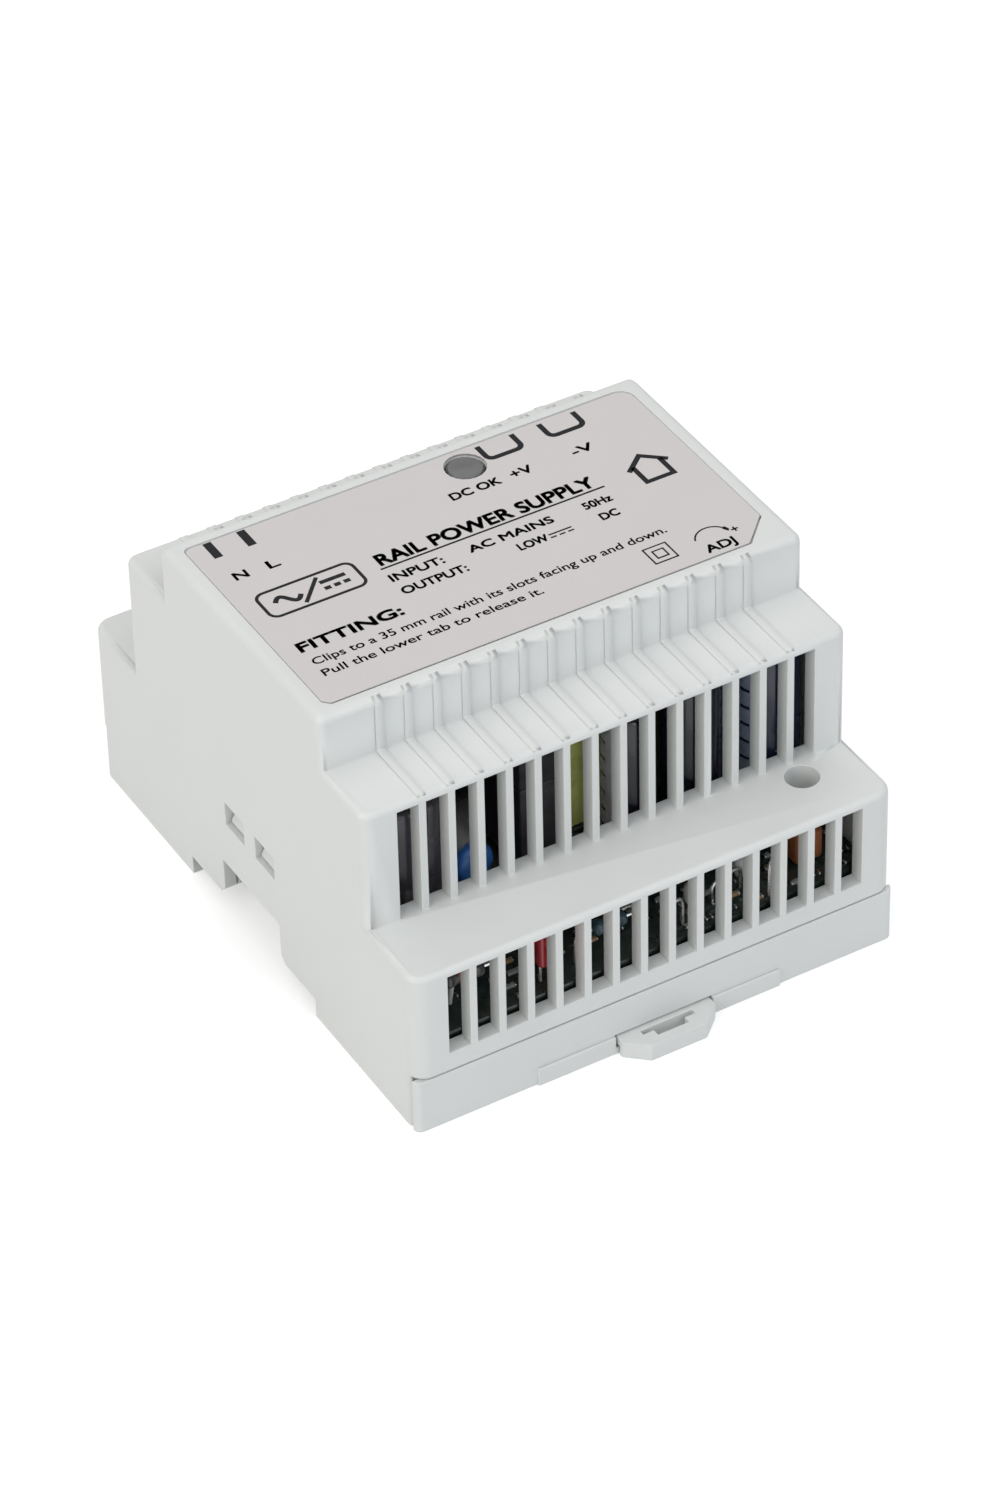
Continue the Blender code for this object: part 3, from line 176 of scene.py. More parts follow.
world = bpy.data.worlds.new("studio")
world.use_nodes = True
bpy.context.scene.world = world
tree = world.node_tree
background = tree.nodes["Background"]
background.inputs["Color"].default_value = (1, 1, 1, 1)
plain_white = seen_by(tree, "Is Camera Ray", "Is Glossy Ray", "Is Transmission Ray")
strength = tree.nodes.new("ShaderNodeMapRange")
strength.inputs["To Min"].default_value = WORLD_GLOW
strength.inputs["To Max"].default_value = 1.0
tree.links.new(plain_white, strength.inputs["Value"])
tree.links.new(strength.outputs["Result"], background.inputs["Strength"])
print("world glow", WORLD_GLOW)

# %% [markdown]
# ## Finishes
#
# Every finish here is one recipe with different numbers: a base colour that drifts a little over the
# piece, a roughness that varies in small patches, and a fine grain that only bends the light. The
# patterns read Object coordinates in metres, so a grain of 0.4 mm is the same size on a screw as on
# the housing.


# %% A recipe for moulded, coated and metal finishes
def finish(
    name, color, roughness, metallic=0.0, drift=0.04, drift_size=9.0, grain=0.35, relief=0.01,
    patchiness=0.05, coat=0.0, speckle=0.0, squeeze=(1, 1, 1),
):
    """A Principled material whose colour, roughness and grain vary. Sizes and relief are in mm."""
    made = bpy.data.materials.new(name)
    made.use_nodes = True
    nodes, links = made.node_tree.nodes, made.node_tree.links
    shader = nodes["Principled BSDF"]
    shader.inputs["Metallic"].default_value = metallic
    shader.inputs["Coat Weight"].default_value = coat
    shader.inputs["Coat Roughness"].default_value = 0.12
    place = nodes.new("ShaderNodeTexCoord")
    turn = nodes.new("ShaderNodeMapping")
    turn.inputs["Scale"].default_value = squeeze
    links.new(place.outputs["Object"], turn.inputs["Vector"])

    broad = nodes.new("ShaderNodeTexNoise")
    broad.inputs["Scale"].default_value = 1000.0 / drift_size
    broad.inputs["Detail"].default_value = 3.0
    links.new(turn.outputs["Vector"], broad.inputs["Vector"])
    ramp = nodes.new("ShaderNodeValToRGB")
    ramp.color_ramp.elements[0].position = 0.3
    ramp.color_ramp.elements[1].position = 0.7
    ramp.color_ramp.elements[0].color = (*[c * (1 - drift) for c in color], 1)
    ramp.color_ramp.elements[1].color = (*[min(1.0, c * (1 + drift)) for c in color], 1)
    links.new(broad.outputs["Fac"], ramp.inputs["Fac"])
    painted = ramp.outputs["Color"]

    fine = nodes.new("ShaderNodeTexNoise")
    fine.inputs["Scale"].default_value = 1000.0 / grain
    fine.inputs["Detail"].default_value = 4.0
    links.new(turn.outputs["Vector"], fine.inputs["Vector"])
    if speckle:
        mix = nodes.new("ShaderNodeMix")
        mix.data_type = "RGBA"
        mix.blend_type = "MULTIPLY"
        mix.inputs["Factor"].default_value = speckle
        links.new(painted, mix.inputs[6])
        links.new(fine.outputs["Fac"], mix.inputs[7])
        painted = mix.outputs[2]
    links.new(painted, shader.inputs["Base Color"])

    patches = nodes.new("ShaderNodeMapRange")
    patches.inputs["From Min"].default_value = 0.3
    patches.inputs["From Max"].default_value = 0.7
    patches.inputs["To Min"].default_value = roughness - patchiness
    patches.inputs["To Max"].default_value = roughness + patchiness
    links.new(broad.outputs["Fac"], patches.inputs["Value"])
    links.new(patches.outputs["Result"], shader.inputs["Roughness"])

    bump = nodes.new("ShaderNodeBump")
    bump.inputs["Strength"].default_value = 1.0
    bump.inputs["Distance"].default_value = relief * MM
    links.new(fine.outputs["Fac"], bump.inputs["Height"])
    links.new(bump.outputs["Normal"], shader.inputs["Normal"])
    return made


# %% [markdown]
# The housing is a pale, faintly cool grey-white, with the dull grain that a spark-eroded mould
# leaves. The label is a shade warmer and smoother. The rest are the finishes of the parts inside.

# %% Housing and label finishes
HOUSING = finish(
    "housing_plastic", (0.70, 0.715, 0.70), 0.46, drift=0.018, drift_size=14.0, grain=0.22, relief=0.012,
    patchiness=0.04,
)
LABEL = finish(
    "label_film", (0.615, 0.588, 0.58), 0.52, drift=0.012, drift_size=10.0, grain=0.12, relief=0.002,
    patchiness=0.03,
)
INK = finish(
    "printing_ink", (0.014, 0.014, 0.016), 0.6, drift=0.15, drift_size=1.2, grain=0.1, relief=0.001
)
INK.node_tree.nodes["Principled BSDF"].inputs["Specular IOR Level"].default_value = 0.12
LIGHT_WINDOW = finish("light_window", (0.085, 0.087, 0.085), 0.22, drift=0.25, drift_size=4.0, coat=0.3)
LED = finish("led_plastic", (0.14, 0.42, 0.16), 0.25, drift=0.1, drift_size=2.0, coat=0.3)
NYLON = finish("nylon", (0.62, 0.6, 0.55), 0.5, drift=0.05, drift_size=3.0)
print("housing finishes ready")

# %% Finishes of the parts inside
STEEL = finish(
    "plated_steel", (0.62, 0.62, 0.6), 0.3, metallic=1.0, drift=0.08, drift_size=1.5, grain=0.12,
    relief=0.003,
)
SPRING = finish("spring_steel", (0.5, 0.5, 0.49), 0.25, metallic=1.0, drift=0.06, drift_size=0.8)
TINNED = finish(
    "tinned_wire", (0.72, 0.72, 0.7), 0.28, metallic=1.0, drift=0.1, drift_size=0.9, grain=0.2,
    relief=0.004,
)
ALUMINIUM = finish(
    "aluminium", (0.6, 0.61, 0.62), 0.38, metallic=1.0, drift=0.06, drift_size=5.0, grain=0.15,
    relief=0.004, squeeze=(1, 0.06, 1),
)
COPPER = finish(
    "enamelled_copper", (0.42, 0.13, 0.045), 0.28, metallic=0.85, drift=0.15, drift_size=1.6, coat=0.4
)
BLACK = finish("black_plastic", (0.018, 0.018, 0.02), 0.42, drift=0.15, drift_size=3.0, grain=0.2)
SHRUNK_FILM = {"grain": 0.8, "coat": 0.35}
SLEEVE = finish(
    "black_sleeve", (0.012, 0.012, 0.02), 0.22, drift=0.2, drift_size=6.0, **SHRUNK_FILM
)
VIOLET_SLEEVE = finish(
    "violet_sleeve", (0.052, 0.046, 0.056), 0.26, drift=0.12, drift_size=9.0, **SHRUNK_FILM
)
NAVY_SLEEVE = finish(
    "navy_sleeve", (0.02, 0.026, 0.06), 0.24, drift=0.15, drift_size=5.0, **SHRUNK_FILM
)
GREY_PRINT = finish("grey_sleeve_print", (0.5, 0.49, 0.5), 0.45, drift=0.1, drift_size=2.0)
SLEEVE_PRINT = finish("sleeve_print", (0.28, 0.33, 0.44), 0.4, drift=0.15, drift_size=1.0)
DARK_PRINT = finish("dark_print", (0.05, 0.05, 0.055), 0.4, drift=0.15, drift_size=1.0)
FERRITE = finish(
    "ferrite", (0.055, 0.05, 0.057), 0.5, drift=0.2, drift_size=2.0, grain=0.25, relief=0.02
)
TAPE = finish("yellow_tape", (0.62, 0.66, 0.2), 0.3, drift=0.06, drift_size=4.0, grain=1.2, coat=0.3)
BLUE = finish("blue_ceramic", (0.03, 0.16, 0.5), 0.3, drift=0.12, drift_size=2.0, coat=0.4)
GREEN = finish("green_ceramic", (0.03, 0.09, 0.055), 0.5, drift=0.15, drift_size=1.5, relief=0.02)
BOARD = finish(
    "board_lacquer", (0.014, 0.024, 0.018), 0.3, drift=0.2, drift_size=2.5, grain=0.3, coat=0.4
)
TRACK = finish("board_track", (0.024, 0.045, 0.032), 0.3, drift=0.1, drift_size=1.5, coat=0.4)
ANODISED = finish(
    "anodised_plate", (0.1, 0.09, 0.105), 0.36, metallic=0.7, drift=0.08, drift_size=4.0, grain=0.2,
    relief=0.004,
)
PAPER = finish("paper_label", (0.55, 0.54, 0.52), 0.6, drift=0.08, drift_size=2.0)
RED = finish("red_film", (0.5, 0.04, 0.05), 0.3, drift=0.12, drift_size=2.0, coat=0.4)
GREY = finish("grey_plastic", (0.33, 0.33, 0.33), 0.5, drift=0.05, drift_size=4.0)
DIPPED = {"drift": 0.08, "drift_size": 1.5, "coat": 0.3}
TAN = finish("resistor_lacquer", (0.42, 0.26, 0.12), 0.35, **DIPPED)
CHARCOAL = finish("charcoal_lacquer", (0.06, 0.055, 0.055), 0.35, **DIPPED)
TEAL = finish("teal_lacquer", (0.03, 0.075, 0.1), 0.35, **DIPPED)
BROWN = finish("brown_phenolic", (0.36, 0.12, 0.045), 0.45, drift=0.12, drift_size=2.0, grain=0.3)
WHITE = finish("white_plastic", (0.72, 0.71, 0.67), 0.45, drift=0.04, drift_size=2.0)
TERMINAL = finish("terminal_plastic", (0.022, 0.17, 0.06), 0.48, drift=0.06, drift_size=4.0, grain=0.3)
print("inside finishes ready")

# %% [markdown]
# ## Helpers for pieces
#
# A new piece ends as one mesh object at the origin, with its place in its mesh. It then gets its
# finishes as material slots and a body to ride on, and the CAD nodes it stands for are hidden.


# %% Turn a mesh into a piece of the object
def piece(name, bm, material, body="housing", nodes=(), smooth=50.0, materials=()):
    """Makes the piece from the bmesh and frees it. smooth is the sharpest angle that shades round."""
    mesh = bpy.data.meshes.new(name)
    bm.to_mesh(mesh)
    bm.free()
    made = bpy.data.objects.new(name, mesh)
    bpy.context.scene.collection.objects.link(made)
    for m in (material, *materials):
        mesh.materials.append(m)
    if smooth:
        mesh.shade_smooth()
        mesh.set_sharp_from_angle(angle=math.radians(smooth))
    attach(made, body)
    if nodes:
        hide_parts(*nodes)
    print(f"{name}: {len(mesh.polygons)} faces")
    return made


def weigh_normals(obj):
    """Keeps the broad faces flat and leaves the shading change to the narrow ones."""
    weighted = obj.modifiers.new("Weighted Normal", "WEIGHTED_NORMAL")
    weighted.keep_sharp = True
    weighted.weight = 100
    return obj


# %% [markdown]
# The CAD meshes have knife-sharp edges, which no moulding has. A merged copy of a node, with its flat
# faces made whole again, takes a narrow bevel along each sharp edge. Faces on the mouldings catch
# light along those bevels, which is what makes an edge read as an edge.


# %% Copy a CAD node and soften its edges
def merged_copy(node):
    """The node's mesh with its doubles merged and its flat faces dissolved back into whole ones."""
    bm = bmesh.new()
    bm.from_mesh(NODES[node].data)
    bmesh.ops.remove_doubles(bm, verts=bm.verts, dist=1e-6)
    bmesh.ops.dissolve_limit(
        bm, angle_limit=math.radians(0.6), use_dissolve_boundaries=False, verts=bm.verts, edges=bm.edges
    )
    return bm


def soften(bm, width, angle=38.0, segments=2, keep=None):
    """Bevels the edges that are sharper than the angle. keep says which edges to leave alone."""
    sharp = [
        e for e in bm.edges
        if len(e.link_faces) == 2 and e.is_convex
        and e.calc_face_angle() > math.radians(angle)
        and not (keep and keep(e))
    ]
    bmesh.ops.bevel(
        bm, geom=sharp, offset=width * MM, offset_type="OFFSET", affect="EDGES", segments=segments,
        profile=0.5, clamp_overlap=False, material=-1,
    )
    return bm


def dressed(
    name, node, width, material, body="housing", segments=2, keep=None, weigh=True
):
    """A piece that is its CAD node with soft edges. weigh keeps its broad faces flat."""
    bm = soften(merged_copy(node), width, segments=segments, keep=keep)
    made = piece(name, bm, material, body=body, nodes=[node])
    return weigh_normals(made) if weigh else made


# %% [markdown]
# ## Housing
#
# The cover carries the look of the whole object. Its ribs fade into the shelf in ridges thinner than
# the bevel, so edges near the ribs are left as they are.

# %% Cover
NOSE_SIDE = (node_box("front_label")[1].y + 0.8, node_box("front_label")[1].y + 14.5)
RIB_FLOOR = 45.9


def near_ribs(edge):
    """True for edges that belong to the ribs and the shelf under them."""
    middle = (edge.verts[0].co + edge.verts[1].co) / 2 / MM
    side = abs(middle.y - RAIL_MIDDLE)
    return middle.z > RIB_FLOOR and NOSE_SIDE[0] < side < NOSE_SIDE[1]


dressed("cover_shell", "front_cover", 0.14, HOUSING, keep=near_ribs)

# %% Base and latch
dressed("base_shell", "rear_base", 0.12, HOUSING)
dressed("latch_slider", "rail_latch", 0.1, HOUSING, body="latch")

# %% [markdown]
# ## Label
#
# The label is a satin film with one cut corner, and it sits in a shallow recess. Its print is
# modelled as a very thin layer of ink on top: words, bars and symbols. The words are generic ones
# that say what each terminal, light and adjuster is.

# %% Label sheet
dressed("label_sheet", "front_label", 0.05, LABEL, segments=1)
PRINT_LOW = LABEL_TOP - 0.004
PRINT_HIGH = LABEL_TOP + 0.012
ink = bmesh.new()


# %% Words in ink
def letters(words, size=1.0, fineness=2, swell=0.0, align="LEFT"):
    """Words as a flat mesh that reads along X and stands up along Y."""
    curve = bpy.data.curves.new("words", "FONT")
    curve.body = words
    curve.size = size
    curve.offset = swell
    curve.align_x = align
    curve.resolution_u = fineness
    holder = bpy.data.objects.new("words", curve)
    bpy.context.scene.collection.objects.link(holder)
    bpy.context.view_layer.update()
    mesh = bpy.data.meshes.new_from_object(holder)
    bpy.data.objects.remove(holder)
    return mesh


# The height of a capital in letters of size 1.
CAPITAL = 0.729


def printed(words, x, y, height, width=None, weight=0.07, anchor="CENTER"):
    """Adds words to the ink, in mm: capitals of this height, stretched to a width if one is given.

    The letters are laid four times, each copy moved by the weight, which thickens every stroke evenly.
    """
    mesh = letters(words, fineness=4)
    xs = [v.co.x for v in mesh.vertices]
    tall = height / CAPITAL
    wide = width / (max(xs) - min(xs)) if width else tall
    start = min(xs) if anchor == "LEFT" else (max(xs) + min(xs)) / 2
    mesh.transform(Matrix.Translation((-start, -CAPITAL / 2, 0.0)))
    mesh.transform(Matrix.Diagonal((wide * MM, tall * MM, 1.0, 1.0)))
    mesh.transform(Matrix.Translation(housing(x - weight, y - weight, PRINT_HIGH)))
    for move in ((0, 0), (2, 0), (0, 2), (-2, 0)):
        mesh.transform(Matrix.Translation(Vector((*move, 0)) * weight * MM))
        ink.from_mesh(mesh)
    bpy.data.meshes.remove(mesh)


def bar(x, y, width, length, turn=0.0):
    """Adds a plain bar of ink, centred at x and y and turned about the upright axis."""
    quad = bmesh.ops.create_grid(ink, x_segments=1, y_segments=1, size=0.5)["verts"]
    bmesh.ops.scale(ink, vec=(width * MM, length * MM, 1.0), verts=quad)
    bmesh.ops.rotate(ink, matrix=Matrix.Rotation(math.radians(turn), 3, "Z"), verts=quad)
    bmesh.ops.translate(ink, vec=housing(x, y, PRINT_HIGH), verts=quad)


# A sharp corner's mitre is cut off where it would be longer than the line's width over this.
MITRE_LIMIT = 0.35
FINE_LINE = 0.26


def stroke(points, width):
    """Adds a line of ink along the points, as one strip with mitred corners."""
    left, right_side = [], []
    for index, point in enumerate(points):
        here = Vector(point)
        ahead = Vector(points[min(index + 1, len(points) - 1)]) - here
        behind = here - Vector(points[max(index - 1, 0)])
        direction = (ahead.normalized() + behind.normalized()).normalized()
        across = Vector((-direction.y, direction.x))
        lean = across.dot(Vector((-behind.y, behind.x)).normalized()) if behind.length else 1.0
        side = across * (width / 2) / max(MITRE_LIMIT, lean)
        left.append(ink.verts.new(housing(*(here + side), PRINT_HIGH)))
        right_side.append(ink.verts.new(housing(*(here - side), PRINT_HIGH)))
    for i in range(len(points) - 1):
        ink.faces.new((right_side[i], right_side[i + 1], left[i + 1], left[i]))


def arc(x, y, radius, start, end, steps=16):
    """Points along a circle, in degrees from +X."""
    angles = [math.radians(start + (end - start) * i / steps) for i in range(steps + 1)]
    return [(x + radius * math.cos(a), y + radius * math.sin(a)) for a in angles]


# %% [markdown]
# The top row names the terminals behind the housing. Two short bars point at the mains terminals, and
# two brackets join the pairs that share an output pole.

# %% Terminal names
for x in (-32.4, -27.1):
    bar(x, 17.9, 1.3, 3.8)
printed("N", -31.8, 11.0, 1.8, width=2.0)
printed("L", -26.8, 10.9, 1.8, width=1.7)
for left_x, right_x in ((10.65, 16.25), (20.8, 26.4)):
    bracket = [(left_x, 19.25)] + arc(left_x + 1.0, 16.75, 1.0, 180, 270, 5)
    stroke(bracket + arc(right_x - 1.0, 16.75, 1.0, 270, 360, 5) + [(right_x, 19.25)], 0.85)
printed("+V", 13.0, 11.0, 1.8, width=3.3)
printed("-V", 23.0, 11.0, 1.8, width=3.3)
printed("DC OK", 5.5, 10.9, 1.7, width=7.9)
print("terminal names printed")

# %% [markdown]
# The middle rows say what goes in and what comes out, with the standard signs for alternating and
# direct current. The framed sign at the left is the drafting sign for a converter: alternating in,
# direct out.

# %% Ratings
printed("RAIL POWER SUPPLY", 2.95, 3.75, 2.6, width=34.6, weight=0.12)
bar(3.1, 1.75, 36.0, 0.35)
printed("INPUT:", -14.8, -0.7, 1.7, width=8.3, anchor="LEFT")
printed("OUTPUT:", -14.8, -4.0, 1.7, width=10.2, anchor="LEFT")
printed("AC MAINS", -2.4, -0.8, 1.6, width=13.4, anchor="LEFT")
printed("LOW", 3.7, -4.0, 1.6, width=4.6, anchor="LEFT")
bar(10.5, -3.8, 3.7, 0.3)
for i in range(3):
    bar(9.1 + 1.4 * i, -4.5, 0.95, 0.3)
printed("50Hz", 18.3, -0.8, 1.6, width=4.4)
printed("DC", 18.3, -4.1, 1.6, width=2.8)
print("ratings printed")

# %% Converter sign
FRAME_X, FRAME_Y, FRAME_W, FRAME_H, FRAME_R = -25.2, 2.85, 15.0, 5.7, 1.3


def framed(x, y, width, height, radius, line):
    """A rounded frame drawn as one closed line."""
    w, h = width / 2 - radius, height / 2 - radius
    points = []
    for cx, cy, start in ((w, h, 0), (-w, h, 90), (-w, -h, 180), (w, -h, 270)):
        points += arc(x + cx, y + cy, radius, start, start + 90, 6)
    stroke(points + [points[0]], line)


framed(FRAME_X, FRAME_Y, FRAME_W, FRAME_H, FRAME_R, 0.5)
stroke([(FRAME_X - 1.9, FRAME_Y - 2.1), (FRAME_X + 1.9, FRAME_Y + 2.1)], 0.6)
wave = [(FRAME_X - 5.6 + 0.2 * i, FRAME_Y + 0.9 * math.sin(2 * math.pi * i / 20)) for i in range(21)]
stroke(wave, 0.75)
bar(FRAME_X + 3.7, FRAME_Y + 0.75, 4.0, 0.75)
for i in range(3):
    bar(FRAME_X + 2.2 + 1.5 * i, FRAME_Y - 0.75, 1.0, 0.75)
print("converter sign printed")

# %% [markdown]
# The lower rows are plain fitting advice. At the right are the sign for a doubly insulated housing,
# the sign for indoor use, and an arc that says which way the adjuster turns the voltage up.

# %% Advice and signs
printed("FITTING:", -33.0, -7.5, 2.1, width=16.0, weight=0.12, anchor="LEFT")
printed(
    "Clips to a 35 mm rail with its slots facing up and down.", -32.8, -11.1, 1.55, width=55.8,
    weight=0.03, anchor="LEFT",
)
printed("Pull the lower tab to release it.", -32.8, -13.9, 1.55, width=34.3, weight=0.03, anchor="LEFT")
for size in (3.6, 1.7):
    half = size / 2
    corners = [(-half, -half), (half, -half), (half, half), (-half, half)]
    stroke([(19.6 + x, -15.5 + y) for x, y in corners + corners[:2]], FINE_LINE)
HOUSE_X, HOUSE_Y = 28.9, 2.2
roof = [(-3.2, 0.4), (0.0, 3.1), (3.2, 0.4)]
walls = [(-2.2, 1.1), (-2.2, -2.8), (2.2, -2.8), (2.2, 1.1)]
stroke([(HOUSE_X + x, HOUSE_Y + y) for x, y in roof], 0.8)
stroke([(HOUSE_X + x, HOUSE_Y + y) for x, y in walls], 0.8)
sweep = arc(27.7, -16.7, 2.75, 160, 25)
stroke(sweep, FINE_LINE)
bar(sweep[-1][0] - 0.05, sweep[-1][1] - 0.1, 1.0, 0.35, turn=-60)
bar(sweep[-1][0] + 0.1, sweep[-1][1] + 0.1, 0.35, 0.9, turn=20)
printed("+", 31.2, -16.2, 1.5, weight=0.05)
printed("ADJ", 27.6, -18.2, 1.75, width=4.6)

# %% Give the ink its thickness
bmesh.ops.remove_doubles(ink, verts=ink.verts, dist=1e-7)
ink.normal_update()
for face in ink.faces:
    if face.normal.z < 0:
        face.normal_flip()
skin = bmesh.ops.extrude_face_region(ink, geom=ink.faces[:], use_keep_orig=True)
lowered = [g for g in skin["geom"] if isinstance(g, bmesh.types.BMVert)]
bmesh.ops.translate(ink, vec=(0, 0, (PRINT_LOW - PRINT_HIGH) * MM), verts=lowered)
bmesh.ops.recalc_face_normals(ink, faces=ink.faces)
piece("label_print", ink, INK, smooth=0)

# %% [markdown]
# ## Building blocks for the parts inside
#
# The parts on the board are all made of four shapes: a box with rounded edges, a lathe-turned body, a
# bent wire and a coil of wire round a ring. Each block is built in a mesh of its own and then
# gathered into the piece, with the number of the finish it takes.


# %% Boxes and turned bodies
def gather(target, part, index=0):
    """Adds a small mesh to the piece and gives its faces one of the piece's finishes."""
    for face in part.faces:
        face.material_index = index
        face.smooth = True
    mesh = bpy.data.meshes.new("part")
    part.to_mesh(mesh)
    part.free()
    target.from_mesh(mesh)
    bpy.data.meshes.remove(mesh)


def block(target, low, high, soft=0.25, index=0, segments=3):
    """A box between two corners with all its edges rounded, in mm about the rail middle."""
    part = bmesh.new()
    low, high = Vector(low), Vector(high)
    bmesh.ops.create_cube(part, size=1.0)
    bmesh.ops.scale(part, vec=(high - low) * MM, verts=part.verts)
    if soft:
        bmesh.ops.bevel(
            part, geom=part.edges[:], offset=soft * MM, offset_type="OFFSET", affect="EDGES",
            segments=segments, profile=0.5, clamp_overlap=True, material=-1,
        )
    bmesh.ops.translate(part, vec=housing(*((low + high) / 2)), verts=part.verts)
    gather(target, part, index)


TURNS = {"X": Matrix.Rotation(math.pi / 2, 3, "Y"), "Y": Matrix.Rotation(-math.pi / 2, 3, "X")}


def lathe(target, place, profile, index=0, steps=40, axis="Z"):
    """Spins (radius, height) points about an axis through the place. Heights start at the place."""
    part = bmesh.new()
    verts = [part.verts.new((r * MM, 0.0, z * MM)) for r, z in profile]
    edges = [part.edges.new(pair) for pair in zip(verts, verts[1:])]
    bmesh.ops.spin(
        part, geom=verts + edges, cent=(0, 0, 0), axis=(0, 0, 1), angle=math.tau, steps=steps,
        use_merge=True,
    )
    bmesh.ops.remove_doubles(part, verts=part.verts, dist=1e-7)
    bmesh.ops.recalc_face_normals(part, faces=part.faces)
    if axis in TURNS:
        bmesh.ops.rotate(part, matrix=TURNS[axis], verts=part.verts)
    bmesh.ops.translate(part, vec=housing(*place), verts=part.verts)
    gather(target, part, index)


# %% Wires and coils
def curved(points, steps=5):
    """A smooth path through the points."""
    points = [Vector(p) for p in points]
    ends = [points[0] * 2 - points[1]] + points + [points[-1] * 2 - points[-2]]
    path = []
    for a, b, c, d in zip(ends, ends[1:], ends[2:], ends[3:]):
        for i in range(steps):
            t = i / steps
            path.append(
                0.5 * (2 * b + (c - a) * t + (2 * a - 5 * b + 4 * c - d) * t * t
                       + (3 * b - a - 3 * c + d) * t ** 3)
            )
    return path + [points[-1]]


def wire(target, path, radius, index=0, sides=8):
    """A round wire along the path, with flat ends."""
    part = bmesh.new()
    across = (path[1] - path[0]).orthogonal().normalized()
    rings = []
    for i, point in enumerate(path):
        along = (path[min(i + 1, len(path) - 1)] - path[max(i - 1, 0)]).normalized()
        across = (across - along * across.dot(along)).normalized()
        other = along.cross(across)
        angles = [math.tau * k / sides for k in range(sides)]
        spokes = [radius * (math.cos(a) * across + math.sin(a) * other) for a in angles]
        rings.append([part.verts.new(housing(*(point + spoke))) for spoke in spokes])
    for low, high in zip(rings, rings[1:]):
        for k in range(sides):
            part.faces.new((low[k], low[k - 1], high[k - 1], high[k]))
    part.faces.new(rings[0])
    part.faces.new(reversed(rings[-1]))
    bmesh.ops.recalc_face_normals(part, faces=part.faces)
    gather(target, part, index)


def coil(target, place, inner, outer, height, span, turns, radius, index=0):
    """Turns of wire round part of a flat ring that stands on the place. The span is in degrees."""
    path = []
    for i in range(turns * 16 + 1):
        around = math.radians(span[0] + (span[1] - span[0]) * i / 16 / turns)
        c, s = math.cos(math.tau * i / 16), math.sin(math.tau * i / 16)
        out = (inner + outer) / 2 + (outer - inner) / 2 * math.copysign(abs(c) ** 0.5, c)
        rise = height / 2 + height / 2 * math.copysign(abs(s) ** 0.5, s)
        path.append(Vector((
            place[0] + out * math.cos(around), place[1] + out * math.sin(around), place[2] + rise
        )))
    wire(target, path, radius, index, sides=6)
    return path


def patch(target, place, radius, facing, spread, low, high, index=0):
    """A thin printed patch round an upright can. The way it faces and its spread are in degrees."""
    part = bmesh.new()
    columns = []
    count = max(2, round(spread / 8))
    for i in range(count + 1):
        a = math.radians(facing - spread / 2 + spread * i / count)
        x, y = place[0] + radius * math.cos(a), place[1] + radius * math.sin(a)
        columns.append([part.verts.new(housing(x, y, place[2] + z)) for z in (low, high)])
    for a, b in zip(columns, columns[1:]):
        part.faces.new((a[0], b[0], b[1], a[1]))
    gather(target, part, index)


def lay_words(target, mesh, spot, index):
    """Moves each point of the words to its spot and adds them to the piece."""
    for v in mesh.vertices:
        v.co = spot(v.co)
    part = bmesh.new()
    part.from_mesh(mesh)
    bpy.data.meshes.remove(mesh)
    gather(target, part, index)


def wrapped_words(target, words, place, radius, facing, low, size, index=0):
    """Words that run up the side of an upright can."""
    def spot(co):
        a = math.radians(facing) - (co.y - size * 0.35) / radius
        return housing(
            place[0] + radius * math.cos(a), place[1] + radius * math.sin(a), place[2] + low + co.x
        )

    lay_words(target, letters(words, size, swell=0.012 * size), spot, index)


def flat_words(target, words, place, size, index):
    """Words on a face that looks along -Y, centred on the place."""
    def spot(co):
        return housing(place[0] + co.x, place[1], place[2] + co.y)

    lay_words(target, letters(words, size, align="CENTER"), spot, index)


print("building blocks ready")

# %% [markdown]
# ## Parts on the board
#
# The electrolytic cans come first, because they fill most of the grille. Each is an aluminium can in
# a shrunk sleeve: the sleeve follows the crimp near the foot and ends in a thin lip on top, where the
# bare lid shows its scored vent, drawn as thin black lines that are painted shade in the grooves.
# A pale stripe marks the minus lead.


# %% Electrolytic cans
# How far the stripe and its dashes spread, in degrees round a can of 1 mm radius.
STRIPE_SPREAD = 900 / 3.5
DASH_SPREAD = 320 / 3.5
DASH_STEP = 3
# How far the next line of words is turned, in degrees for each mm of letter on a can of 1 mm radius.
LINE_TURN = 75


